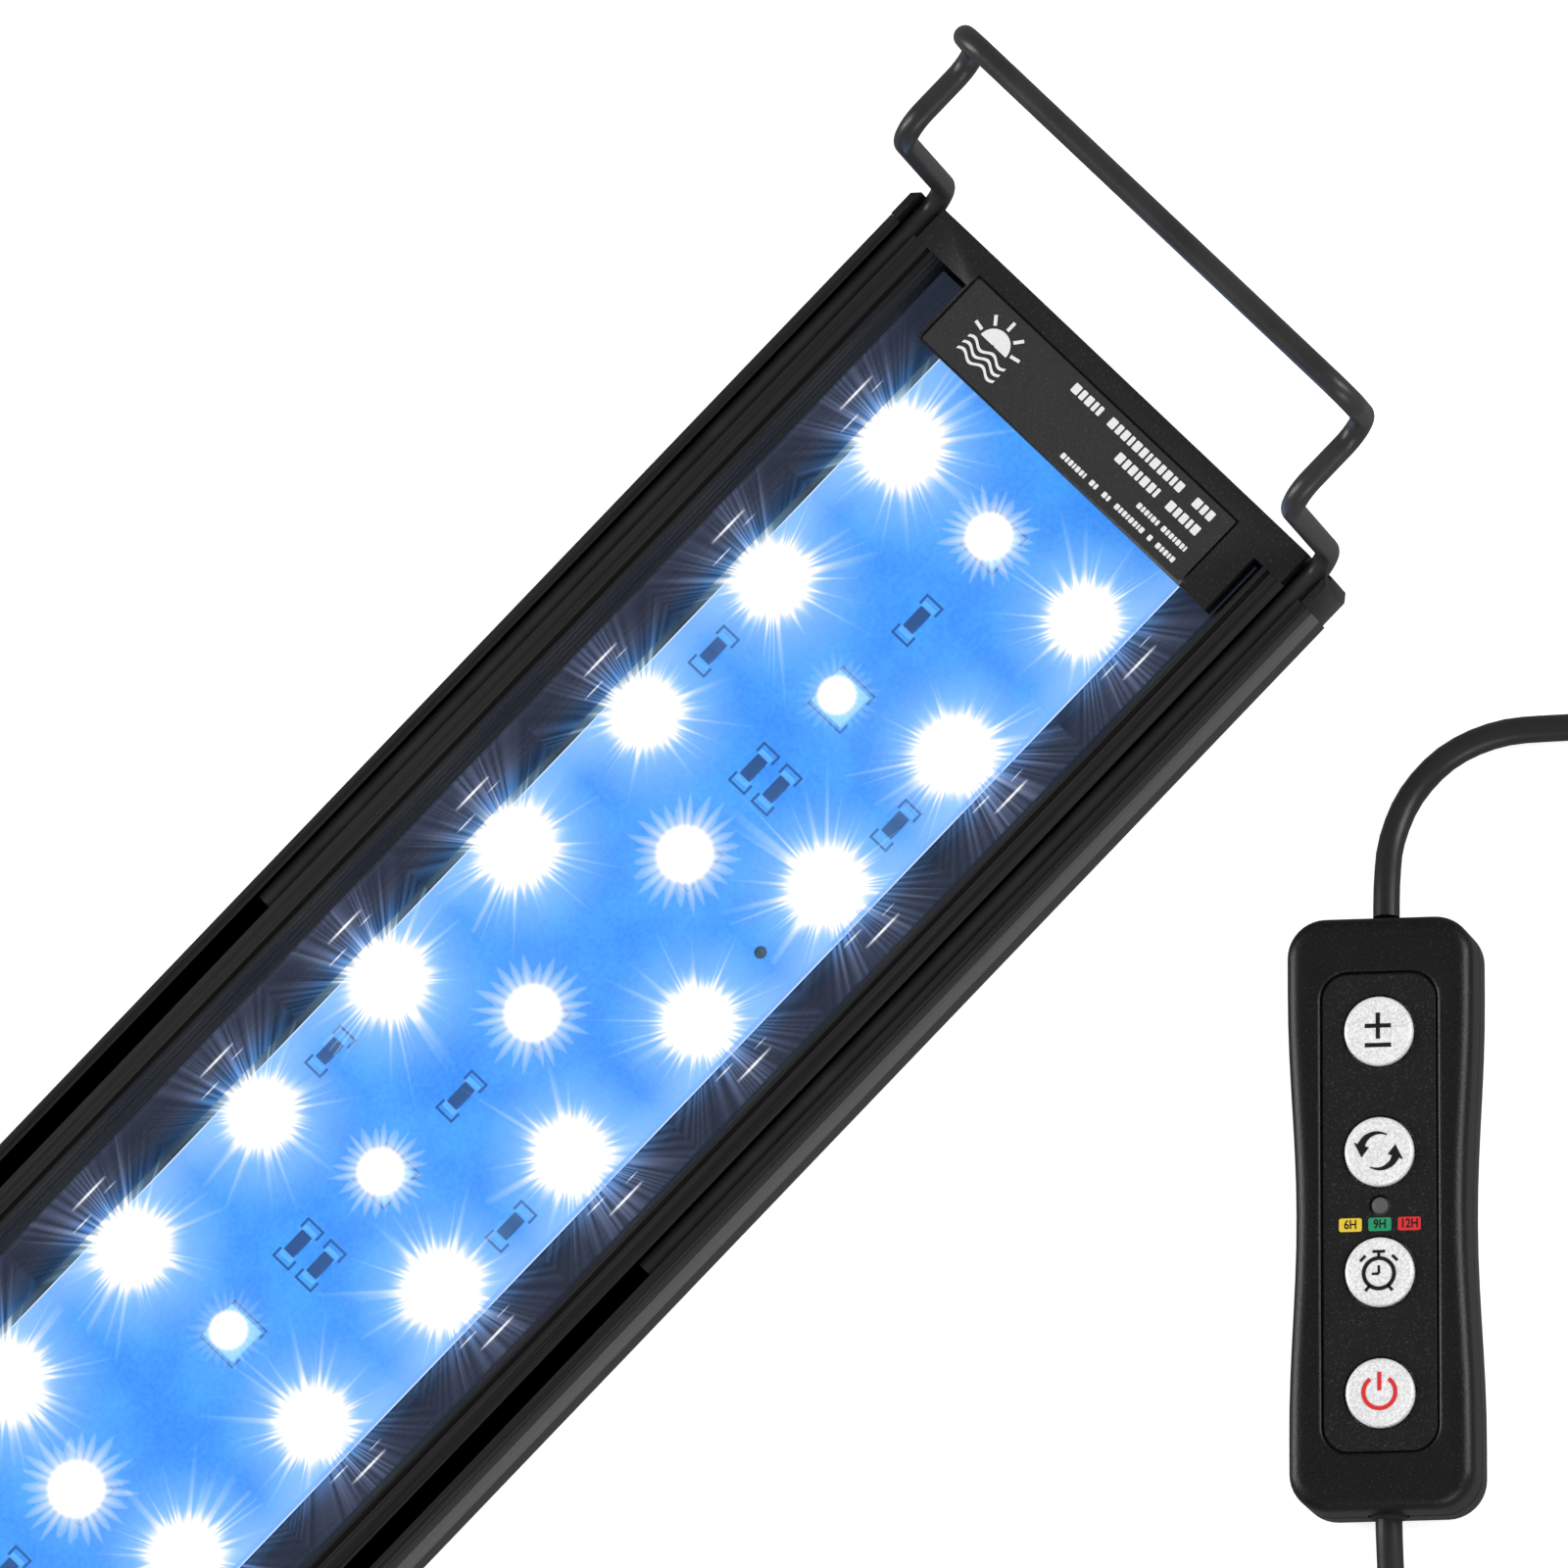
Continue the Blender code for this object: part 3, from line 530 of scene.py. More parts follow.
@dataclass(frozen=True)
class LitBoard:
    """Solder mask flooded with blue light, paler towards the lamps and the edges."""

    side_row: LampRow
    middle_row: LampRow
    edge: float = 20.25
    face: float = 7.7
    name: str = "lit_blue_board"
    deep: Colour = (0.004, 0.22, 0.90)
    clear: Colour = (0.040, 0.36, 0.98)
    pale: Colour = (0.28, 0.54, 0.99)

    def material(self) -> Material:
        """Build the finish."""
        graph = Graph(self.name)
        stars = StarField(graph, self.side_row, self.middle_row)
        place = graph.vector(stars.x, stars.y, stars.z)
        side = abs(stars.y)
        _, distance, _, _ = stars.nearest(self.side_row, side)
        cloud = graph.noise(place, 0.13, 5.0)
        grain = graph.noise(place, 1.7, 4.0)
        wash = (cloud.step(0.3, 0.72) * 0.75 + grain.step(0.35, 0.65) * 0.3).clamp(0.0, 1.0)
        tint = graph.mix(wash, self.deep, self.clear)
        flush = distance.step(12.5, 4.0) * 0.45 + side.step(15.0, 20.0) * 0.55 + grain * 0.1
        tint = graph.mix(flush.clamp(0.0, 0.9), tint, self.pale)
        tint = graph.mix(side.step(self.edge - 0.2, self.edge - 0.1), tint, (0.80, 0.88, 1.0))
        tint = graph.mix(stars.z.step(self.face - 0.03, self.face - 0.1), tint, (0.002, 0.012, 0.05))
        normal = graph.bump(grain, 0.00003, 0.4)
        return graph.surface(
            Base_Color=(0.004, 0.03, 0.12), Roughness=0.4, Normal=normal,
            Emission_Color=tint, Emission_Strength=0.95,
        )


@dataclass(frozen=True)
class StarCover:
    """The clear cover, whose upper face carries the lamps' glare and the haze over the dark margins."""

    side_row: LampRow
    middle_row: LampRow
    edge: float = 20.35
    upper_face: float = 10.7
    name: str = "glare_on_cover"

    def dash(self, stars: StarField, along: Signal, at: Pair, half: float, width: float) -> Signal:
        """A thin painted highlight line beside each outer lamp.

        Args:
            stars: The lamps' pattern.
            along: The distance along the row from the lamp.
            at: Its middle, along the row and across the face.
            half: Half its length.
            width: Half its width.

        Returns:
            The line's brightness.
        """
        length = (1.0 - abs(along - at[0]) * (1.0 / half)).clamp(0.0, 1.0)
        across = (1.0 - abs(abs(stars.y) - at[1]) * (1.0 / width)).clamp(0.0, 1.0)
        return (length ** 0.5) * (across ** 0.6)

    def material(self) -> Material:
        """Build the finish."""
        graph = Graph(self.name)
        stars = StarField(graph, self.side_row, self.middle_row)
        side_star, side_halo = stars.side_glow()
        middle_star, middle_halo = stars.middle_glow()
        side = abs(stars.y)
        margin = side.step(self.edge - 0.05, self.edge + 0.1)
        inside = abs(stars.x).step(198.5, 195.0)
        number, distance, turn, along = stars.nearest(self.side_row, side)
        fan = stars.spikes(turn, number * 7.7 + stars.y.math("SIGN") * 5.0, 64, 9.0, 0.15)
        patch = (along * along * (-1.0 / 34.0)).math("EXPONENT") * side.step(27.0, 22.5, 0.35, 1.0)
        near_board = side.step(24.0, 20.5)
        haze = margin * inside * (patch * 0.30 + 0.04) * (fan * 1.5 + 0.15) * (near_board * 0.9 + 0.62)
        # Painted highlights: thin bright lines in the margins beside the outer lamps.
        lines = margin * (self.dash(stars, along, (0.9, 23.9), 2.9, 0.2)
                          + self.dash(stars, along, (-2.2, 21.9), 1.6, 0.13) * 0.7
                          + self.dash(stars, along, (3.2, 22.6), 1.1, 0.1) * 0.6)
        star = (side_star * (1.0 - margin * 0.45) + middle_star + lines).clamp(0.0, 1.0)
        halo = (side_halo + middle_halo) * (1.0 - margin * 0.93)
        tint = graph.mix(
            margin, (0.34, 0.66, 1.0), graph.mix(near_board, (0.38, 0.48, 0.84), (0.12, 0.40, 1.0))
        )
        tint = graph.mix(star.step(0.0, 0.75), tint, (1.0, 1.0, 1.0))
        upper = stars.z.step(self.upper_face, self.upper_face + 0.03)
        alpha = ((star + halo + haze) * upper * 0.97 + 0.025).clamp(0.0, 1.0)
        return graph.surface(
            Base_Color=(0.02, 0.03, 0.05), Roughness=0.12, Alpha=alpha,
            Emission_Color=tint, Emission_Strength=1.02,
        )


class Finish(Enum):
    """The named finishes that pieces are dressed in."""

    METAL = "metal"
    CAP = "cap"
    PLATE = "plate"
    WIRE = "wire"
    ZINC = "zinc"
    NICKEL = "nickel"
    RUBBER = "rubber"
    SHEATH = "sheath"
    BOARD = "board"
    GLARE = "glare"
    LAMP_BODY = "lamp_body"
    LAMP_WINDOW = "lamp_window"
    RESISTOR = "resistor"
    SOLDER = "solder"
    SILK = "silk"
    PAD = "pad"
    LEAD_RED = "lead_red"
    LEAD_BLACK = "lead_black"
    CONTROLLER = "controller"
    KEYPAD = "keypad"
    KEY = "key"
    WHITE_INK = "white_ink"
    BLACK_INK = "black_ink"
    RED_INK = "red_ink"
    YELLOW_INK = "yellow_ink"
    GREEN_INK = "green_ink"
    LENS = "lens"
    SWITCH = "switch"
    GREEN_BOARD = "green_board"
    TIE = "tie"


class Palette:
    """Every finish as a material, made once."""

    def __init__(self, side_row: LampRow, middle_row: LampRow) -> None:
        """Make the materials.

        Args:
            side_row: The outer rows of lamps.
            middle_row: The middle row of lamps.
        """
        finishes = {
            Finish.METAL: AnodisedMetal(),
            Finish.CAP: MouldedPlastic("cap_plastic", (0.010, 0.010, 0.0105), 0.42, 2.6),
            Finish.PLATE: MouldedPlastic("label_plate", (0.024, 0.024, 0.025), 0.5, 5.0, 0.00001),
            Finish.WIRE: CoatedWire(),
            Finish.ZINC: PlatedMetal("zinc_plate", (0.62, 0.62, 0.64), 0.3),
            Finish.NICKEL: PlatedMetal("nickel_plate", (0.74, 0.73, 0.70), 0.2),
            Finish.RUBBER: SoftRubber("black_rubber", (0.010, 0.010, 0.010), 0.6),
            Finish.SHEATH: SoftRubber("cord_sheath", (0.014, 0.014, 0.0145), 0.38, 0.4),
            Finish.BOARD: LitBoard(side_row, middle_row),
            Finish.GLARE: StarCover(side_row, middle_row),
            Finish.LAMP_BODY: PrintedInk("lamp_body", (0.19, 0.46, 0.95), 0.6),
            Finish.LAMP_WINDOW: PrintedInk("lamp_window", (1.0, 1.0, 1.0), 1.2),
            # The glow of the resistors, the solder and the silk print is painted light from the board's
            # lamps.
            Finish.RESISTOR: PrintedInk("resistor_body", (0.0, 0.045, 0.2), 0.35),
            Finish.SOLDER: PrintedInk("solder_lit", (0.06, 0.30, 0.80), 0.7),
            Finish.SILK: PrintedInk("silk_lines", (0.0, 0.06, 0.26), 0.5),
            Finish.PAD: SoftRubber("thermal_pad", (0.32, 0.33, 0.35), 0.8),
            Finish.LEAD_RED: SoftRubber("lead_red", (0.45, 0.015, 0.015), 0.45),
            Finish.LEAD_BLACK: SoftRubber("lead_black", (0.012, 0.012, 0.012), 0.45),
            Finish.CONTROLLER: MouldedPlastic(
                "controller_plastic", (0.0036, 0.0036, 0.0038), 0.42, 3.4, 0.00005, 0.3
            ),
            Finish.KEYPAD: MouldedPlastic(
                "keypad_overlay", (0.0034, 0.0034, 0.0036), 0.55, 3.9, 0.00005, 0.6
            ),
            Finish.KEY: SatinKey(),
            Finish.WHITE_INK: PrintedInk("white_print", (0.82, 0.82, 0.82)),
            Finish.BLACK_INK: PrintedInk("black_print", (0.008, 0.008, 0.008)),
            Finish.RED_INK: PrintedInk("red_print", (0.70, 0.018, 0.018)),
            Finish.YELLOW_INK: PrintedInk("yellow_mark", (0.80, 0.55, 0.03)),
            Finish.GREEN_INK: PrintedInk("green_mark", (0.01, 0.30, 0.13)),
            # The lens's faint grey glow is painted light that lightens it.
            Finish.LENS: PrintedInk("smoked_lens", (0.07, 0.07, 0.072), 0.45),
            Finish.SWITCH: MouldedPlastic("switch_body", (0.05, 0.05, 0.055), 0.5),
            Finish.GREEN_BOARD: MouldedPlastic("green_board", (0.012, 0.10, 0.035), 0.4, 1.2, 0.00001),
            Finish.TIE: SoftRubber("hook_and_loop_tie", (0.012, 0.012, 0.012), 0.85),
        }
        self.materials = {key: finish.material() for key, finish in finishes.items()}

    def __getitem__(self, finish: Finish) -> Material:
        """The material of a finish."""
        return self.materials[finish]


# ---------------------------------------------------------------------------
# Meshes
# ---------------------------------------------------------------------------


class Forge:
    """Makes plain meshes, in millimetres, with their places in them."""

    @staticmethod
    def link(name: str, data: bpy.types.ID) -> Object:
        """A new object in the scene that holds the data."""
        made = bpy.data.objects.new(name, data)
        bpy.context.scene.collection.objects.link(made)
        return made

    @staticmethod
    def piece(name: str, bm: Mesh, finishes: Sequence[Material]) -> Object:
        """An object from a bmesh in millimetres, shaded smooth between its sharp edges.

        Args:
            name: The piece's name.
            bm: The mesh being made, which is freed.
            finishes: The materials of its slots.

        Returns:
            The new object.
        """
        bmesh.ops.scale(bm, vec=(MM, MM, MM), verts=bm.verts)
        bmesh.ops.recalc_face_normals(bm, faces=bm.faces)
        mesh = bpy.data.meshes.new(name)
        bm.to_mesh(mesh)
        bm.free()
        for finish in finishes:
            mesh.materials.append(finish)
        mesh.shade_smooth()
        mesh.set_sharp_from_angle(angle=math.radians(32.0))
        made = Forge.link(name, mesh)
        return made

    @staticmethod
    def add_loft(bm: Mesh, rings: Sequence[Ring], closed: bool = False) -> None:
        """Add a skin through rings of equal count, with flat ends or joined into a loop.

        Args:
            bm: The mesh to add to.
            rings: The rings, in order.
            closed: Whether the last ring joins the first one.
        """
        loops = [[bm.verts.new(point) for point in ring] for ring in rings]
        if not closed:
            bm.faces.new(loops[0])
            bm.faces.new(loops[-1])
        followers = loops[1:] + (loops[:1] if closed else [])
        for lower, upper in zip(loops, followers):
            for index, vert in enumerate(lower):
                after = (index + 1) % len(lower)
                bm.faces.new((vert, lower[after], upper[after], upper[index]))

    @classmethod
    def loft(cls, name: str, rings: Sequence[Ring], finish: Material, closed: bool = False) -> Object:
        """A piece with a skin through rings of equal count."""
        bm = bmesh.new()
        cls.add_loft(bm, rings, closed)
        return cls.piece(name, bm, [finish])

    @staticmethod
    def turned_rings(
        profile: Sequence[Pair], start: Sequence[float], direction: Sequence[float], sides: int
    ) -> list[Ring]:
        """Rings of a turned form.

        Args:
            profile: Pairs of distance along the axis and radius.
            start: Where the axis starts.
            direction: Where the axis points.
            sides: How many points each ring has.

        Returns:
            The rings in order.
        """
        along = Vector(direction).normalized()
        side = along.orthogonal().normalized()
        other = along.cross(side)
        turns = [math.tau * step / sides for step in range(sides)]
        spokes = [side * math.cos(turn) + other * math.sin(turn) for turn in turns]
        return [
            [Vector(start) + along * distance + spoke * radius for spoke in spokes]
            for distance, radius in profile
        ]

    @classmethod
    def turned(
        cls,
        name: str,
        profile: Sequence[Pair],
        start: Sequence[float],
        direction: Sequence[float],
        finish: Material,
        sides: int = 48,
    ) -> Object:
        """A turned piece."""
        return cls.loft(name, cls.turned_rings(profile, start, direction, sides), finish)

    @staticmethod
    def rounded(profile: Sequence[Pair], radius: float, steps: int = 3) -> Outline:
        """A closed outline whose corners are rounded.

        Args:
            profile: The outline's corners.
            radius: The rounding, cut down where a side is short.
            steps: How many segments each rounding has.

        Returns:
            The outline's points.
        """
        points = [Vector(corner) for corner in profile]
        result: Outline = []
        for index, corner in enumerate(points):
            back = points[index - 1] - corner
            ahead = points[(index + 1) % len(points)] - corner
            reach = min(radius, back.length * 0.45, ahead.length * 0.45)
            start = corner + back.normalized() * reach
            end = corner + ahead.normalized() * reach
            for step in range(steps + 1):
                t = step / steps
                point = start * (1 - t) ** 2 + corner * 2 * t * (1 - t) + end * t * t
                result.append((point.x, point.y))
        return result

    @classmethod
    def add_plate(cls, bm: Mesh, outline: Sequence[Vector], thickness: Vector, slot: int = 0) -> None:
        """Add a flat plate from an outline pushed along a vector, in one of the material slots."""
        before = len(bm.faces)
        cls.add_loft(bm, [outline, [point + thickness for point in outline]])
        bm.faces.ensure_lookup_table()
        for face in bm.faces[before:]:
            face.material_index = slot

    @staticmethod
    def rectangle(half_x: float, half_y: float) -> Outline:
        """The corners of a rectangle about the origin."""
        return [(-half_x, -half_y), (half_x, -half_y), (half_x, half_y), (-half_x, half_y)]

    @staticmethod
    def plain(obj: Object, name: str) -> Object:
        """A piece with its modifiers worked into a plain mesh, in place of the old object."""
        depsgraph = bpy.context.evaluated_depsgraph_get()
        mesh = bpy.data.meshes.new_from_object(obj.evaluated_get(depsgraph))
        mesh.set_sharp_from_angle(angle=math.radians(30.0))
        made = Forge.link(name, mesh)
        mesh.name = name
        bpy.data.objects.remove(obj)
        made.name = name
        return made

    @classmethod
    def carved(
        cls, body: Object, tools: Iterable[Object], bevel: float = 0.0
    ) -> Object:
        """A piece with tool solids cut out of it and its sharp edges eased.

        Args:
            body: The piece to cut.
            tools: The solids to cut away, which are removed.
            bevel: The width of the eased edges, in millimetres.

        Returns:
            The finished piece.
        """
        tools = list(tools)
        for tool in tools:
            modifier = body.modifiers.new(tool.name, "BOOLEAN")
            modifier.operation = "DIFFERENCE"
            modifier.object = tool
        if bevel:
            cls.ease(body, bevel)
        made = cls.plain(body, body.name)
        for tool in tools:
            bpy.data.objects.remove(tool)
        return made

    @staticmethod
    def ease(body: Object, width: float, segments: int = 2) -> None:
        """Put a bevel on a piece's sharp edges."""
        modifier = body.modifiers.new("eased_edges", "BEVEL")
        modifier.width = width * MM
        modifier.segments = segments
        modifier.limit_method = "ANGLE"
        modifier.angle_limit = math.radians(34.0)
        modifier.harden_normals = True

    @classmethod
    def from_node(
        cls, node: Object, name: str, finish: Material, width: float, segments: int = 2
    ) -> Object:
        """A copy of a frame node with its edges eased.

        Args:
            node: The frame's object, which is left alone.
            name: The new piece's name.
            finish: Its material.
            width: The bevel's width in millimetres.
            segments: The bevel's segments.

        Returns:
            The new piece.
        """
        bm = bmesh.new()
        bm.from_mesh(node.data)
        bmesh.ops.remove_doubles(bm, verts=bm.verts, dist=2e-6)
        bmesh.ops.dissolve_limit(bm, angle_limit=math.radians(1.0), verts=bm.verts, edges=bm.edges)
        mesh = bpy.data.meshes.new(name)
        bm.to_mesh(mesh)
        bm.free()
        mesh.materials.append(finish)
        mesh.shade_smooth()
        mesh.set_sharp_from_angle(angle=math.radians(32.0))
        made = Forge.link(name, mesh)
        cls.ease(made, width, segments)
        return cls.plain(made, name)


class Workshop:
    """Hands finished pieces to the frame and reports them."""

    def __init__(self, frame: dict, palette: Palette) -> None:
        """Keep the frame and the palette."""
        self.frame = frame
        self.palette = palette

    def deliver(self, piece: Object, body: str, slot: str, *nodes: str) -> Object:
        """Put a piece on its body.

        Args:
            piece: The finished piece.
            body: The body that it rides on.
            slot: Not used.
            nodes: The frame nodes that it stands for.

        Returns:
            The piece.
        """
        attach(piece, body)
        if nodes:
            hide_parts(*nodes)
        LOG.info("piece %s rides on %s", piece.name, body)
        return piece

    def dress(self, node: str, finish: Finish) -> None:
        """Give a frame node its material."""
        mesh = self.frame["nodes"][node].data
        mesh.materials.clear()
        mesh.materials.append(self.palette[finish])
        LOG.info("node %s is dressed in %s", node, finish.value)

    def refine(self, node: str, finish: Finish, body: str, slot: str, width: float = 0.15) -> Object:
        """Show a node's shape again with eased edges."""
        piece = Forge.from_node(self.frame["nodes"][node], f"{node}_finished", self.palette[finish], width)
        return self.deliver(piece, body, slot, node)


class NodeRecipe:
    """Builds a Geometry Nodes group from tables of its inputs, nodes and links."""

    def __init__(self, name: str, inputs: dict[str, str], nodes: dict[str, str], links: str) -> None:
        """Build the group.

        Args:
            name: The group's name.
            inputs: The kind of each named input.
            nodes: The kind of each node, by a short name.
            links: One link per line, as node.output > node.input; In and Out are the group's own ends.
        """
        self.tree = bpy.data.node_groups.new(name, "GeometryNodeTree")
        face = self.tree.interface
        self.sockets = {
            key: face.new_socket(key, in_out="INPUT", socket_type=f"NodeSocket{kind}").identifier
            for key, kind in inputs.items()
        }
        face.new_socket("Geometry", in_out="OUTPUT", socket_type="NodeSocketGeometry")
        kinds = {"In": "NodeGroupInput", "Out": "NodeGroupOutput", **nodes}
        self.nodes = {key: self.tree.nodes.new(kind) for key, kind in kinds.items()}
        for line in links.strip().splitlines():
            (source, output), (target, entry) = (end.strip().split(".") for end in line.split(">"))
            self.tree.links.new(self.nodes[source].outputs[output], self.nodes[target].inputs[entry])

    def apply(self, holder: Object, values: dict[str, object]) -> Object:
        """Run the group on an object and keep the result as a plain mesh.

        Args:
            holder: The object that carries the group, which is replaced.
            values: The value of each input.

        Returns:
            The plain piece.
        """
        modifier = holder.modifiers.new(self.tree.name, "NODES")
        modifier.node_group = self.tree
        for key, value in values.items():
            modifier[self.sockets[key]] = value
        holder.update_tag()
        bpy.context.view_layer.update()
        return Forge.plain(holder, holder.name)


class RowTree(NodeRecipe):
    """A Geometry Nodes tree that sets copies of one piece along a straight row."""

    def __init__(self) -> None:
        """Build the tree with its named inputs."""
        inputs = {
            "Piece": "Object", "Count": "Int", "Start": "Vector", "Step": "Vector", "Finish": "Material"
        }
        nodes = {
            "Line": "GeometryNodeMeshLine", "Source": "GeometryNodeObjectInfo",
            "Copies": "GeometryNodeInstanceOnPoints", "Real": "GeometryNodeRealizeInstances",
            "Dressed": "GeometryNodeSetMaterial",
        }
        super().__init__("copies_along_a_row", inputs, nodes, """
            In.Count > Line.Count
            In.Start > Line.Start Location
            In.Step > Line.Offset
            In.Piece > Source.Object
            Line.Mesh > Copies.Points
            Source.Geometry > Copies.Instance
            Copies.Instances > Real.Geometry
            Real.Geometry > Dressed.Geometry
            In.Finish > Dressed.Material
            Dressed.Geometry > Out.Geometry
        """)
        self.nodes["Line"].mode = "OFFSET"
        self.nodes["Source"].transform_space = "RELATIVE"

    def row(
        self,
        name: str,
        piece: Object,
        count: int,
        start: Sequence[float],
        step: Sequence[float],
        finish: Material,
    ) -> Object:
        """A plain mesh of copies along a row.

        Args:
            name: The new piece's name.
            piece: The piece to copy, built about the origin.
            count: How many copies there are.
            start: Where the first one stands, in millimetres.
            step: From one to the next, in millimetres.
            finish: The material of all of them.

        Returns:
            The new piece.
        """
        holder = Forge.link(name, bpy.data.meshes.new(name))
        first, ahead = ([part * MM for part in place] for place in (start, step))
        values = {"Piece": piece, "Count": count, "Start": first, "Step": ahead, "Finish": finish}
        return self.apply(holder, values)


class WireTree(NodeRecipe):
    """A Geometry Nodes tree that draws a round bar along a path."""

    def __init__(self) -> None:
        """Build the tree with its named inputs."""
        inputs = {"Path": "Geometry", "Radius": "Float", "Sides": "Int", "Finish": "Material"}
        nodes = {
            "Circle": "GeometryNodeCurvePrimitiveCircle", "Skin": "GeometryNodeCurveToMesh",
            "Smooth": "GeometryNodeSetShadeSmooth", "Real": "GeometryNodeRealizeInstances",
            "Dressed": "GeometryNodeSetMaterial",
        }
        super().__init__("round_bar_along_a_path", inputs, nodes, """
            In.Sides > Circle.Resolution
            In.Radius > Circle.Radius
            In.Path > Skin.Curve
            Circle.Curve > Skin.Profile Curve
            Skin.Mesh > Smooth.Geometry
            Smooth.Geometry > Real.Geometry
            Real.Geometry > Dressed.Geometry
            In.Finish > Dressed.Material
            Dressed.Geometry > Out.Geometry
        """)
        self.nodes["Skin"].inputs["Fill Caps"].default_value = True

    def bar(
        self, name: str, path: Sequence[Vector], radius: float, sides: int, finish: Material
    ) -> Object:
        """A round bar as a plain mesh.

        Args:
            name: The piece's name.
            path: The points of its middle line, in millimetres.
            radius: Its radius in millimetres.
            sides: How many sides it has.
            finish: Its material.

        Returns:
            The new piece.
        """
        curve = bpy.data.curves.new(name, "CURVE")
        curve.dimensions = "3D"
        spline = curve.splines.new("POLY")
        spline.points.add(len(path) - 1)
        for target, point in zip(spline.points, path):
            target.co = (*(point * MM), 1.0)
        holder = Forge.link(name, curve)
        return self.apply(holder, {"Radius": radius * MM, "Sides": sides, "Finish": finish})


# ---------------------------------------------------------------------------
# The controller's own frame
# ---------------------------------------------------------------------------


class ControllerFrame:
    """Across and along the controller, worked out from its keys."""

    def __init__(self) -> None:
        """Measure the heading and the middle from the two end keys and the lower shell."""
        power, level = self.middle("power_button"), self.middle("level_button")
        low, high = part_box("controller_bottom_shell")
        self.origin = Vector(((low.x + high.x) / 2, (low.y + high.y) / 2, 0.0)) / MM
        self.along = Vector((level.x - power.x, level.y - power.y, 0.0)).normalized()
        self.across = Vector((self.along.y, -self.along.x, 0.0))

    @staticmethod
    def middle(node: str) -> Vector:
        """The middle of a node's box, in millimetres."""
        low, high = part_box(node)
        return (low + high) / (2 * MM)

    def __call__(self, across: float, along: float, height: float) -> Vector:
        """A place on the controller, in the object's frame."""
        return self.origin + self.across * across + self.along * along + Vector((0.0, 0.0, height))

    def local(self, point: Vector) -> Pair:
        """How far across and along a place lies."""
        arm = point - self.origin
        return arm.dot(self.across), arm.dot(self.along)


# ---------------------------------------------------------------------------
# Studio
# ---------------------------------------------------------------------------


@dataclass
class Softbox:
    """A rectangular lamp of the studio."""

    name: str
    place: Triple
    aim: Triple
    size: Pair
    power: float


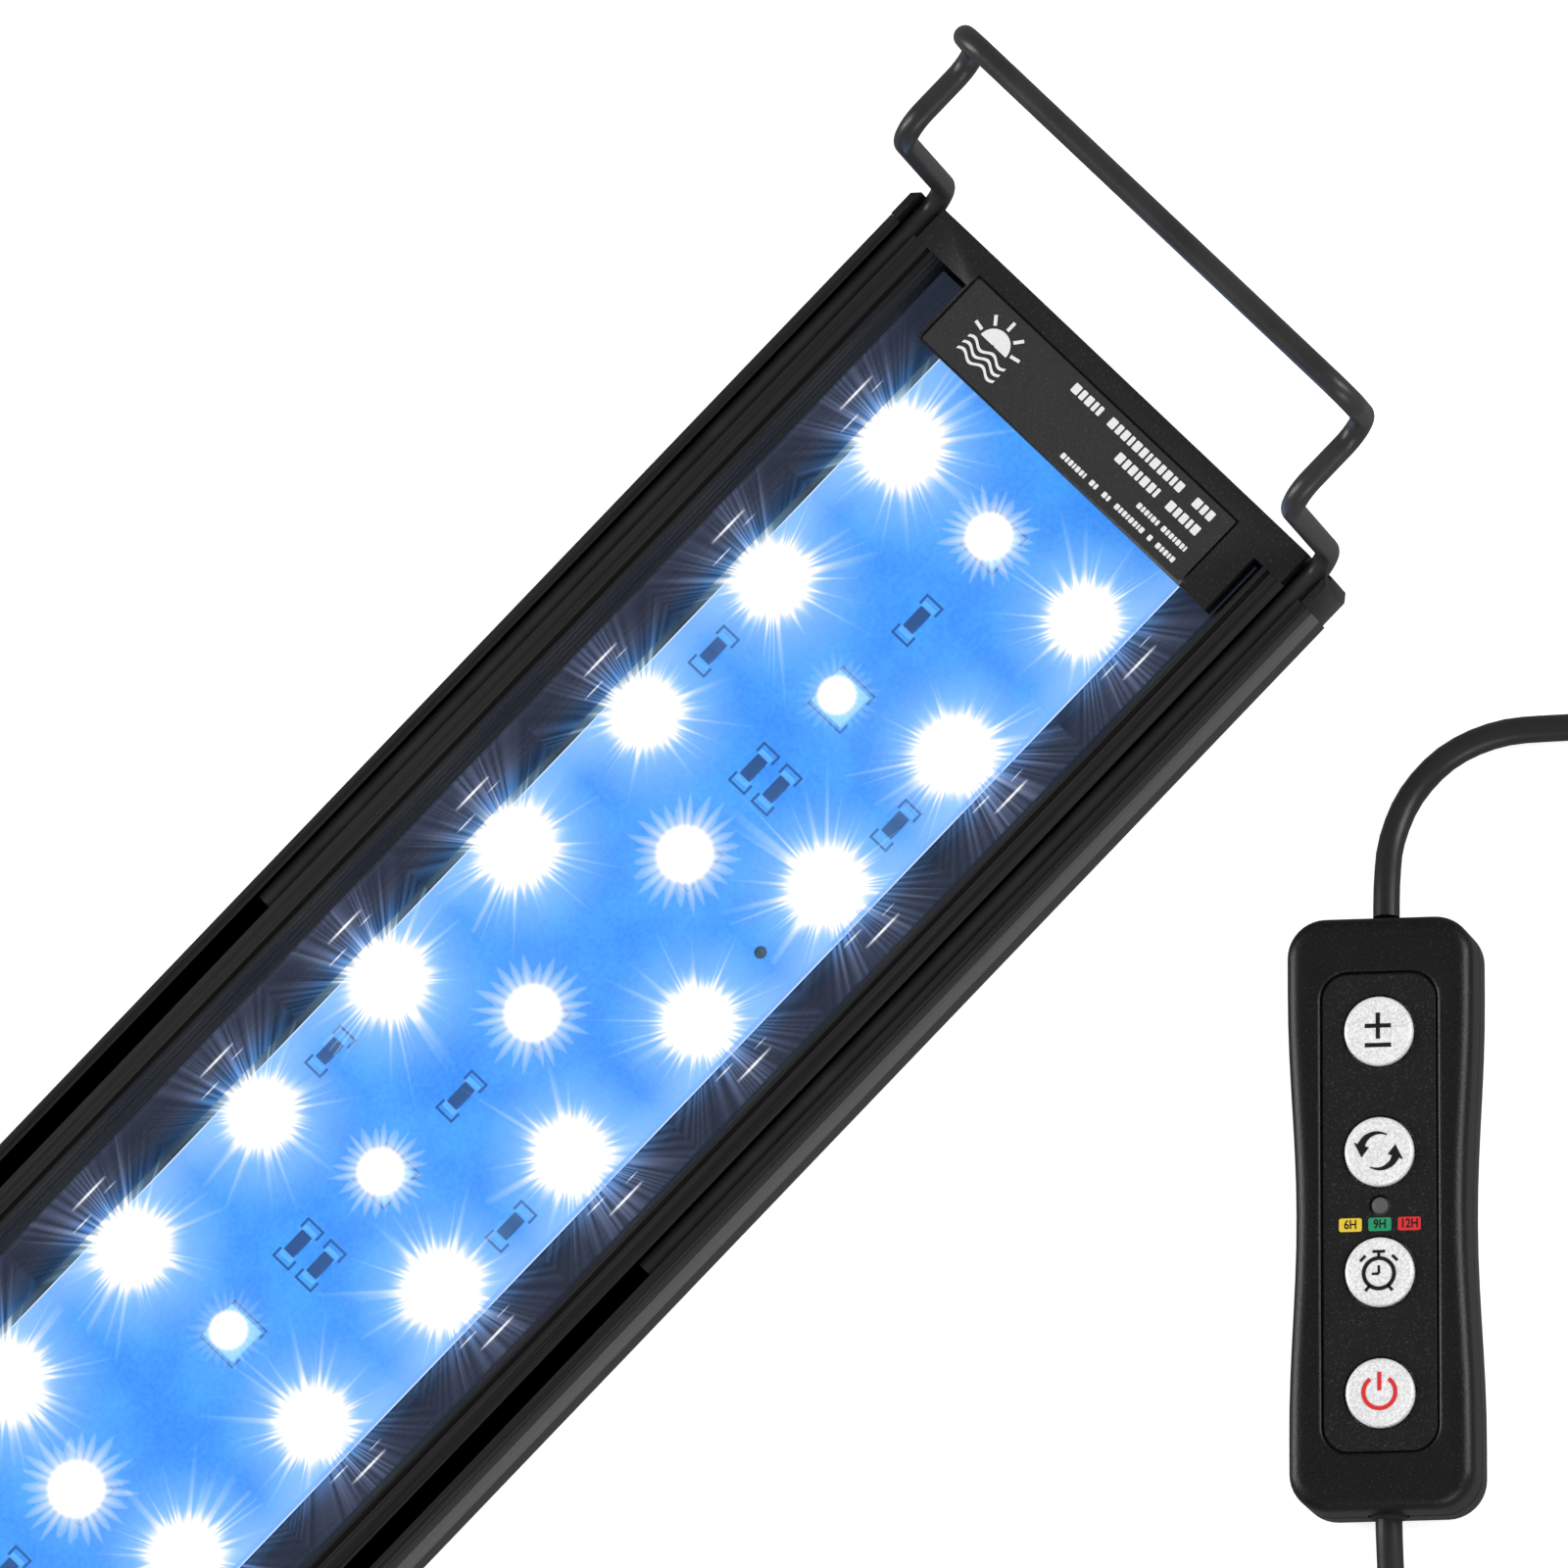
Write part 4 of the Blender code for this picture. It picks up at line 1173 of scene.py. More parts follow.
@dataclass
class Studio:
    """The camera, a pale floor and soft light."""

    tilt: float = math.radians(14.5)
    target: Triple = (0.1477, -0.002, 0.0075)
    distance: float = 3.0
    lens: float = 581.9
    turn: Pair = (0.6919, 0.7220)
    sensor: float = 36.0
    reach: float = 20.0
    floor_size: float = 3.0
    floor_height: float = -0.25
    floor_glow: tuple[float, float] = (0.62, 0.2)
    surrounding: tuple[float, float] = (0.72, 0.1)
    boxes: tuple[Softbox, ...] = (
        Softbox("softbox_left", (-0.75, 1.05, 0.62), (0.15, -0.05, 0.0), (0.5, 1.1), 12.0),
        Softbox("softbox_right", (1.25, -0.75, 0.75), (0.15, -0.05, 0.0), (0.35, 0.9), 9.0),
        Softbox("softbox_front", (-0.35, -1.35, 0.7), (0.1, 0.0, 0.0), (0.9, 0.35), 5.0),
    )

    def camera(self) -> Object:
        """Set the camera over the lamp, tilted from its near side."""
        up = Vector((0.0, math.cos(self.tilt), math.sin(self.tilt)))
        back = Vector((0.0, -math.sin(self.tilt), math.cos(self.tilt)))
        right = Vector((self.turn[0], 0.0, 0.0)) - up * self.turn[1]
        top = Vector((self.turn[1], 0.0, 0.0)) + up * self.turn[0]
        data = bpy.data.cameras.new("camera")
        data.lens = self.lens
        data.sensor_width = self.sensor
        data.clip_end = self.reach
        made = Forge.link("camera", data)
        rotation = Matrix((right.normalized(), top.normalized(), back)).transposed()
        made.matrix_world = Matrix.Translation(Vector(self.target) + back * self.distance) @ rotation.to_4x4()
        bpy.context.scene.camera = made
        return made

    def floor(self) -> None:
        """Lay the plain floor just under the object, dimmer in reflections."""
        glow, dim_glow = self.floor_glow
        graph = Graph("pale_floor")
        x, y, _ = graph.coordinates()
        cloud = graph.noise(graph.vector(x, y, 0.0), 0.004, 2.0)
        tint = graph.mix(cloud, (0.80, 0.80, 0.80), (0.82, 0.82, 0.82))
        material = graph.surface(
            Base_Color=tint, Roughness=0.9, Emission_Color=(1.0, 1.0, 1.0), Emission_Strength=glow
        )
        leave = next(node for node in graph.tree.nodes if node.type == "OUTPUT_MATERIAL")
        rays = graph.signal(graph.node("ShaderNodeLightPath"), "Is Glossy Ray")
        dim = graph.node("ShaderNodeEmission", None, {"Color": (1.0, 1.0, 1.0, 1.0), "Strength": dim_glow})
        lit = leave.inputs["Surface"].links[0].from_socket
        chosen = graph.node("ShaderNodeMixShader", None, {0: rays, 1: lit, 2: dim.outputs[0]})
        graph.tree.links.new(chosen.outputs[0], leave.inputs["Surface"])
        half = self.floor_size / (2 * MM)
        square = ((-half, -half), (half, -half), (half, half), (-half, half))
        corners = [Vector((x, y, self.floor_height)) for x, y in square]
        bm = bmesh.new()
        bm.faces.new([bm.verts.new(corner) for corner in corners])
        Forge.piece("floor", bm, [material])

    def light(self) -> None:
        """Hang the softboxes and set the surrounding light, dim in reflections."""
        for box in self.boxes:
            data = bpy.data.lights.new(box.name, "AREA")
            data.shape = "RECTANGLE"
            data.size, data.size_y = box.size
            data.energy = box.power
            made = Forge.link(box.name, data)
            aim = Vector(box.aim) - Vector(box.place)
            rotation = aim.to_track_quat("-Z", "Y").to_matrix().to_4x4()
            made.matrix_world = Matrix.Translation(box.place) @ rotation
        world = bpy.data.worlds.new("surrounding_light")
        world.use_nodes = True
        nodes, links = world.node_tree.nodes, world.node_tree.links
        nodes.clear()
        rays = nodes.new("ShaderNodeLightPath")
        chosen = nodes.new("ShaderNodeMixShader")
        links.new(rays.outputs["Is Glossy Ray"], chosen.inputs[0])
        for slot, strength in enumerate(self.surrounding, start=1):
            sky = nodes.new("ShaderNodeBackground")
            sky.inputs["Color"].default_value = (1.0, 1.0, 1.0, 1.0)
            sky.inputs["Strength"].default_value = strength
            links.new(sky.outputs[0], chosen.inputs[slot])
        leave = nodes.new("ShaderNodeOutputWorld")
        links.new(chosen.outputs[0], leave.inputs["Surface"])
        bpy.context.scene.world = world
        bpy.context.scene.view_settings.view_transform = "Standard"


# ---------------------------------------------------------------------------
# Cords
# ---------------------------------------------------------------------------


@dataclass
class Coil:
    """A round coil in two layers: in along the floor, up, and out again on top."""

    middle: Vector
    outer: float
    tracks: int
    pitch: float
    low: float
    start: float
    direction: int
    out_shift: float
    travel: float
    span: float = 60.0

    def state(self, travelled: float) -> Pair:
        """The radius and height after a turn in degrees.

        Args:
            travelled: How far round the cord has gone from its start.

        Returns:
            The radius of its middle line, and its height.
        """
        radius, height = self.outer, self.low
        climb = self.out_shift + self.span
        inward = climb + self.span
        moves: list[Triple] = []
        moves += [(inward + 360.0 * turn, -self.pitch, 0.0) for turn in range(self.tracks - 1)]
        last = inward + 360.0 * (self.tracks - 2) + self.span
        climb_start = climb + 360.0 * math.ceil((last - climb) / 360.0)
        moves.append((climb_start, 0.0, self.pitch))
        done = climb_start + self.span
        first_out = self.out_shift + 360.0 * math.ceil((done - self.out_shift) / 360.0)
        moves += [(first_out + 360.0 * turn, self.pitch, 0.0) for turn in range(self.tracks - 1)]
        for begin, sideways, upwards in moves:
            share = min(1.0, max(0.0, (travelled - begin) / self.span))
            share = share * share * (3.0 - 2.0 * share)
            radius += sideways * share
            height += upwards * share
        return radius, height

    def points(self, step: float = 15.0) -> list[Vector]:
        """The points of its turns."""
        count = round(self.travel / step)
        result = []
        for index in range(count + 1):
            travelled = self.travel * index / count
            radius, height = self.state(travelled)
            angle = math.radians(self.start + self.direction * travelled)
            result.append(self.middle + Vector((radius * math.cos(angle), radius * math.sin(angle), height)))
        return result

    def tie(self, name: str, angle: float, width: float, cord: float, finish: Material) -> Object:
        """A soft strap round the coil's turns, with its loose end laid over.

        Args:
            name: The piece's name.
            angle: Where on the coil it sits, in degrees.
            width: The strap's width.
            cord: The cord's radius.
            finish: Its material.

        Returns:
            The strap.
        """
        turn = math.radians(angle)
        outwards = Vector((math.cos(turn), math.sin(turn), 0.0))
        sideways = Vector((-math.sin(turn), math.cos(turn), 0.0))
        inner = self.outer - self.pitch * (self.tracks - 1) - cord
        outer = self.outer + cord
        top = self.low + self.pitch + cord
        thick = 0.45
        near, far, over = inner - thick, outer + thick, top + thick
        loop = Forge.rounded([(near, 0.0), (far, 0.0), (far, over), (near, over)], 1.9, 6)
        rings = []
        for index, (r, z) in enumerate(loop):
            before, after = Vector(loop[index - 1]), Vector(loop[(index + 1) % len(loop)])
            tangent = (after - before).normalized()
            inward = Vector((-tangent.y, tangent.x)) * thick
            rim = [(r, z, -width / 2), (r, z, width / 2), (r + inward.x, z + inward.y, width / 2)]
            rim.append((r + inward.x, z + inward.y, -width / 2))
            rings.append(
                [self.middle + outwards * a + sideways * c + Vector((0.0, 0.0, b)) for a, b, c in rim]
            )
        bm = bmesh.new()
        Forge.add_loft(bm, rings, closed=True)
        tail = []
        for share, lift in ((0.0, 0.0), (0.5, 0.35), (0.9, 0.3), (1.0, 0.25)):
            r = inner + 1.5 + (outer - inner - 1.0) * share
            half = width / 2 * (1.0 if share < 0.95 else 0.8)
            z = top + thick + lift
            rim = [(r, z, -half), (r, z, half), (r, z + 0.45, half), (r, z + 0.45, -half)]
            tail.append(
                [self.middle + outwards * a + sideways * c + Vector((0.0, 0.0, b)) for a, b, c in rim]
            )
        Forge.add_loft(bm, tail)
        return Forge.piece(name, bm, [finish])


@dataclass
class Cords:
    """The lamp's cord to the controller, and the controller's cord to its plug."""

    controller: ControllerFrame
    radius: float = 1.6
    spacing: float = 2.0
    lamp_route: tuple[Triple, ...] = (
        (-224.3, -12.0, 7.6), (-230.0, -12.6, 7.3), (-236.5, -15.6, 6.2), (-241.8, -21.6, 4.4),
        (-244.0, -29.5, 2.6), (-243.2, -38.5, 1.75), (-239.0, -47.0, 1.6), (-231.5, -53.8, 1.6),
        (-220.5, -58.2, 1.6), (-204.0, -60.4, 1.6), (-180.0, -60.6, 1.6), (-150.0, -59.0, 1.6),
        (-118.0, -58.2, 1.6), (-86.0, -60.4, 1.6), (-54.0, -65.8, 1.6), (-24.0, -74.4, 1.6),
        (0.0, -84.2, 1.6), (20.0, -95.4, 1.6), (36.0, -109.0, 1.6), (47.8, -120.8, 1.6),
    )
    coil_to_controller: tuple[Triple, ...] = (
        (84.8, -136.4, 2.4), (92.0, -136.3, 1.8), (99.2, -136.3, 1.6), (108.5, -135.1, 1.6),
        (117.2, -131.5, 1.6),
    )
    arrival: tuple[Triple, ...] = (
        (0.0, -49.6, 2.2), (0.0, -43.0, 3.8), (0.0, -36.0, 5.35), (0.0, -31.0, 5.35), (0.0, -25.8, 5.35),
    )
    departure: tuple[Triple, ...] = (
        (0.0, 36.0, 5.35), (0.0, 40.5, 4.7), (0.4, 45.6, 3.4), (2.6, 51.2, 2.2), (7.0, 55.8, 1.65),
        (13.0, 58.3, 1.6), (20.0, 58.8, 1.6), (28.0, 58.8, 1.6), (35.6, 58.8, 1.6),
    )
    plug_route: tuple[Triple, ...] = (
        (71.1, 40.3, 1.9), (72.7, 36.6, 2.5), (73.6, 32.4, 3.6), (73.9, 28.2, 4.7), (73.9, 24.5, 5.2),
    )

    def __post_init__(self) -> None:
        """Place both coils."""
        heading = math.degrees(math.atan2(self.controller.along.y, self.controller.along.x)) - 90.0
        self.lamp_coil = Coil(Vector((72.0, -115.0, 0.0)), 21.2, 3, 3.2, 1.6, -135.0, 1, 75.0, 1845.0)
        middle = self.controller(48.0, 39.1, 0.0)
        self.plug_coil = Coil(middle, 19.6, 2, 3.2, 1.6, 90.0 + heading, -1, 55.0, 1135.0)

    def smooth(self, route: Sequence[Vector]) -> list[Vector]:
        """Evenly spaced points along a smooth curve through a route.

        Args:
            route: The route's points.

        Returns:
            The points of the curve.
        """
        padded = [route[0] * 2 - route[1], *route, route[-1] * 2 - route[-2]]
        fine: list[Vector] = []
        for p0, p1, p2, p3 in zip(padded, padded[1:], padded[2:], padded[3:]):
            for step in range(16):
                t = step / 16
                bend = (p0 * 2 - p1 * 5 + p2 * 4 - p3) * t * t + (p1 * 3 - p0 - p2 * 3 + p3) * t * t * t
                fine.append((p1 * 2 + (p2 - p0) * t + bend) / 2)
        fine.append(route[-1])
        lengths = [(after - before).length for before, after in zip(fine, fine[1:])]
        count = round(sum(lengths) / self.spacing)
        wanted = sum(lengths) / count
        points, walked = [fine[0]], 0.0
        for before, after, length in zip(fine, fine[1:], lengths):
            while walked + length >= wanted * len(points) and len(points) < count:
                points.append(before.lerp(after, (wanted * len(points) - walked) / length))
            walked += length
        return points + [fine[-1]]

    def curve(self, name: str, points: Sequence[Vector], finish: Material) -> Object:
        """A round cord as a curve of one open spline."""
        data = bpy.data.curves.new(name, "CURVE")
        data.dimensions = "3D"
        data.bevel_depth = self.radius * MM
        data.bevel_resolution = 5
        data.use_fill_caps = True
        spline = data.splines.new("POLY")
        spline.points.add(len(points) - 1)
        for target, point in zip(spline.points, points):
            target.co = (*(point * MM), 1.0)
        spline.use_smooth = True
        data.materials.append(finish)
        return Forge.link(name, data)

    @staticmethod
    def length(points: Sequence[Vector]) -> float:
        """The length of a line in metres."""
        return sum((after - before).length for before, after in zip(points, points[1:])) * MM

    def build(self, shop: Workshop) -> None:
        """Lay both cords with the straps on their coils."""
        sheath = shop.palette[Finish.SHEATH]
        tail = [Vector(point) for point in self.coil_to_controller]
        tail += [self.controller(*point) for point in self.arrival]
        route = [Vector(point) for point in self.lamp_route] + self.lamp_coil.points() + tail
        self.lamp_points = self.smooth(route)
        lamp = self.curve("lamp_cord", self.lamp_points, sheath)
        self.lamp = shop.deliver(lamp, LAMP_BODY, "cord", "lamp_cord_run", "lamp_cord_coil", "lamp_cord_tail")
        route = [self.controller(*point) for point in self.departure[:-1]] + self.plug_coil.points()
        route += [self.controller(*point) for point in self.plug_route]
        self.plug_points = self.smooth(route)
        plug = self.curve("plug_cord", self.plug_points, sheath)
        self.plug = shop.deliver(plug, LAMP_BODY, "cord", "plug_cord_run", "plug_cord_coil", "plug_cord_tail")
        strap = shop.palette[Finish.TIE]
        self.ties = []
        for name, coil, angle in (
            ("lamp_cord_tie", self.lamp_coil, 100.0), ("plug_cord_tie", self.plug_coil, -70.0)
        ):
            tie = coil.tie(name, angle, 7.5, self.radius, strap)
            self.ties.append(shop.deliver(tie, LAMP_BODY, "cord"))

    def declare(self, on_lamp_cord: Sequence[Object], on_plug_cord: Sequence[Object]) -> None:
        """Log the length of both cords.

        Args:
            on_lamp_cord: The pieces of the controller, which the lamp's cord ends in.
            on_plug_cord: The pieces of the plug.
        """
        for piece, points, far_end, others in (
            (self.lamp, self.lamp_points, "fitting", [self.ties[0], *on_lamp_cord]),
            (self.plug, self.plug_points, "plug", [self.ties[1], *on_plug_cord]),
        ):
            tuple(points[0] * MM)
            round(self.length(points), 3)
            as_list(others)
            LOG.info("cord %s is %.3f m long", piece.name, self.length(points))


# ---------------------------------------------------------------------------
# Housing
# ---------------------------------------------------------------------------


@dataclass
class Housing:
    """The extrusion with its fins, wire channels, cover slot and finely ribbed inner slopes."""

    fin_first: float = 9.5
    fin_pitch: float = 3.4
    fin_width: float = 1.2
    fin_count: int = 6
    fin_ceiling: float = 3.5
    floor_top: float = 5.0
    wire_y: float = 32.3
    wire_z: float = 12.5
    channel_half: float = 1.7
    mouth_half: float = 1.15
    rib_depth: float = 0.16
    easing: float = 0.22
    bore_y: float = 29.8
    bore_z: float = 6.2
    lap: float = 0.00027

    def ribbed(self, start: Pair, end: Pair, count: int) -> Outline:
        """A stretch of the section with shallow grooves sunk into the metal on its right.

        Args:
            start: Where the stretch starts.
            end: Where it ends.
            count: How many grooves it has.

        Returns:
            The points between the two.
        """
        first, last = Vector(start), Vector(end)
        ahead = last - first
        inward = Vector((-ahead.y, ahead.x)).normalized() * -self.rib_depth
        points = []
        for index in range(count):
            base = (index + 0.5) / count
            for share, depth in ((-0.32, 0.0), (-0.18, 1.0), (0.18, 1.0), (0.32, 0.0)):
                point = first + ahead * (base + share / count) + inward * depth
                points.append((point.x, point.y))
        return points

    def half_section(self) -> Outline:
        """Half of the section, from the underside round the rim to the tray."""
        half = [(7.0, 0.0), (7.0, 1.5), (self.fin_width, 1.5), (self.fin_width, self.fin_ceiling)]
        for index in range(self.fin_count):
            middle = self.fin_first + index * self.fin_pitch
            near, far = middle - self.fin_width / 2, middle + self.fin_width / 2
            half += [(near, self.fin_ceiling), (near, 0.4), (far, 0.4), (far, self.fin_ceiling)]
        half += [(31.2, self.fin_ceiling), (31.8, 0.4), (32.4, 0.0), (34.3, 0.0), (34.7, 0.4)]
        half += [(35.25, 6.8), (35.25, 7.2)]
        half += [(35.10, 10.8), (34.75, 11.1), (34.74, 11.5), (35.06, 11.8), (34.95, 14.7), (34.65, 15.0)]
        outer, inner = self.wire_y + self.channel_half, self.wire_y - self.channel_half
        low, high = self.wire_z - self.channel_half, self.wire_z + self.channel_half
        half += [(self.wire_y + self.mouth_half, 15.0), (self.wire_y + self.mouth_half, high), (outer, high)]
        half += [(outer, low), (inner, low), (inner, high), (self.wire_y - self.mouth_half, high)]
        half += [
            (self.wire_y - self.mouth_half, 15.0), (28.9, 15.0), (28.75, 14.4), (28.4, 14.4), (28.25, 15.0)
        ]
        half += [(27.95, 15.0)] + self.ribbed((27.95, 15.0), (26.4, 11.05), 5)
        half += [(26.4, 11.05), (27.6, 11.05), (27.6, 9.25), (26.4, 9.25), (26.4, self.floor_top)]
        half += self.ribbed((26.4, self.floor_top), (21.6, self.floor_top), 6)
        half += [(21.6, self.floor_top), (21.6, 7.9), (20.6, 7.9), (20.6, self.floor_top)]
        return half

    def build(self, shop: Workshop) -> None:
        """Push the section along the lamp and bore its ends."""
        low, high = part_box("housing_extrusion")
        half = self.half_section()
        outline = Forge.rounded(half + [(-y, z) for y, z in reversed(half)], self.easing, 3)
        rings = [[Vector((x / MM, y, z)) for y, z in outline] for x in (low.x - self.lap, high.x + self.lap)]
        metal = shop.palette[Finish.METAL]
        housing = Forge.loft("lamp_housing", rings, metal)
        bores = []
        for side in (-1, 1):
            start = (low.x / MM - 1.0, side * self.bore_y, self.bore_z)
            bores.append(
                Forge.turned(f"bore_{side}", [(0.0, 1.5), (412.0, 1.5)], start, (1, 0, 0), metal, 16)
            )
        shop.deliver(Forge.carved(housing, bores), LAMP_BODY, "housing", "housing_extrusion")


@dataclass
class CrossScrew:
    """A screw with a domed head and a cross recess, its head at the origin and its shank along an axis."""

    head_radius: float
    head_height: float
    shank_radius: float
    shank_length: float
    recess: float

    def build(self, name: str, axis: Triple, finish: Material) -> Object:
        """Turn the screw and cut its recess.

        Args:
            name: The piece's name.
            axis: Where the shank points.
            finish: Its material.

        Returns:
            The screw.
        """
        r, h = self.head_radius, self.head_height
        profile = [(0.0, r * 0.5), (h * 0.1, r * 0.78), (h * 0.3, r * 0.94), (h * 0.55, r), (h, r)]
        profile += [(h, self.shank_radius), (h + self.shank_length, self.shank_radius)]
        screw = Forge.turned(name, profile, (0, 0, 0), axis, finish, 32)
        along = Vector(axis).normalized()
        side = along.orthogonal().normalized()
        other = along.cross(side)
        cuts = []
        for index, (wide, narrow) in enumerate(((side, other), (other, side))):
            rings = []
            for depth, spread in ((-0.1, 1.0), (h * 0.6, 0.55)):
                a, b = wide * (self.recess * spread), narrow * (self.recess * 0.2)
                rings.append(
                    [along * depth + a * sa + b * sb for sa, sb in ((1, 1), (-1, 1), (-1, -1), (1, -1))]
                )
            cuts.append(Forge.loft(f"{name}_cut_{index}", rings, finish))
        return Forge.carved(screw, cuts)


@dataclass
class EndCaps:
    """Both end caps with their gaskets and screws, and the printed plate on the right one."""

    rows: RowTree
    screw: CrossScrew = field(default_factory=lambda: CrossScrew(2.5, 1.4, 1.2, 10.4, 1.5))
    icon_middle: Pair = (202.2, 14.6)
    bars: tuple[tuple[float, float, float, float], ...] = (
        (205.3, 4.1, -0.6, 0.62), (205.3, -2.0, -14.9, 0.62), (205.3, -16.2, -19.7, 0.62),
        (202.9, -5.6, -12.9, 0.62), (202.9, -14.1, -19.5, 0.62),
        (200.4, -11.5, -15.0, 0.36), (200.4, -15.6, -19.6, 0.36),
        (198.5, -0.6, -4.8, 0.36), (198.5, -5.4, -6.9, 0.36), (198.5, -7.5, -9.0, 0.36),
        (198.5, -9.6, -14.5, 0.36), (198.5, -15.1, -15.9, 0.36), (198.5, -16.5, -19.6, 0.36),
    )

    def build(self, shop: Workshop) -> None:
        """Make the caps, screws, gaskets and the plate."""
        for side, sign in (("right", 1), ("left", -1)):
            shop.refine(f"end_cap_{side}", Finish.CAP, LAMP_BODY, "end_cap", 0.28)
            shop.dress(f"end_gasket_{side}", Finish.RUBBER)
            low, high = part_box(f"cap_screw_{side}_front")
            rear_low, rear_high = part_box(f"cap_screw_{side}_rear")
            axis_y, axis_z = (low.y + high.y) / (2 * MM), (low.z + high.z) / (2 * MM)
            step = (rear_low.y + rear_high.y) / (2 * MM) - axis_y
            outer = (high.x if sign > 0 else low.x) / MM
            finish = shop.palette[Finish.ZINC]
            piece = self.screw.build(f"cap_screw_form_{side}", (-sign, 0, 0), finish)
            pair = self.rows.row(
                f"cap_screws_{side}", piece, 2, (outer, axis_y, axis_z), (0, step, 0), finish
            )
            bpy.data.objects.remove(piece)
            shop.deliver(pair, LAMP_BODY, "screw", f"cap_screw_{side}_front", f"cap_screw_{side}_rear")
        self.plate(shop)

    @staticmethod
    def blocks(start: float, end: float, half: float) -> Outline:
        """A line of print as a run of small blocks.

        Args:
            start: Where the line starts.
            end: Where it ends, below its start.
            half: Half the height of its print.

        Returns:
            Where each block starts and ends.
        """
        widths = (1.3, 0.9, 1.1, 0.7, 1.2, 1.0, 0.6)
        runs, place, index = [], start, 0
        while place - half * 0.8 > end:
            low = max(end, place - widths[index % len(widths)] * half * 1.25)
            runs.append((place, low))
            place, index = low - half * 0.42, index + 1
        return runs

    def plate(self, shop: Workshop) -> None:
        """Make the label plate and its plain marks."""
        low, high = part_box("label_plate")
        (left, near), (right, far) = ((end.x / MM, end.y / MM) for end in (low, high))
        outline = Forge.rounded([(left, near), (right, near), (right, far), (left, far)], 0.5, 4)
        top, inset = high.z / MM, 0.06
        left, near, right, far = left + inset, near + inset, right - inset, far - inset
        inner = Forge.rounded([(left, near), (right, near), (right, far), (left, far)], 0.45, 4)
        rings = [
            [Vector((x, y, low.z / MM)) for x, y in outline], [Vector((x, y, top - 0.05)) for x, y in outline]
        ]
        rings.append([Vector((x, y, top)) for x, y in inner])
        plate = Forge.loft("label_plate_sheet", rings, shop.palette[Finish.PLATE])
        shop.deliver(plate, LAMP_BODY, "label", "label_plate")
        bm = bmesh.new()
        lift, thick = top - 0.02, Vector((0.0, 0.0, 0.05))
        for x, start, end, half in self.bars:
            for top_y, low_y in self.blocks(start, end, half):
                corners = [(x - half, low_y), (x + half, low_y), (x + half, top_y), (x - half, top_y)]
                Forge.add_plate(bm, [Vector((a, b, lift)) for a, b in Forge.rounded(corners, 0.14, 2)], thick)
        for outline in Glyph.sun(2.2, 3.5) + Glyph.waves(3.1, 3):
            x, y = self.icon_middle
            Forge.add_plate(bm, [Vector((x + b, y - a, lift)) for a, b in outline], thick)
        marks = Forge.piece("label_marks", bm, [shop.palette[Finish.WHITE_INK]])
        shop.deliver(marks, LAMP_BODY, "label")


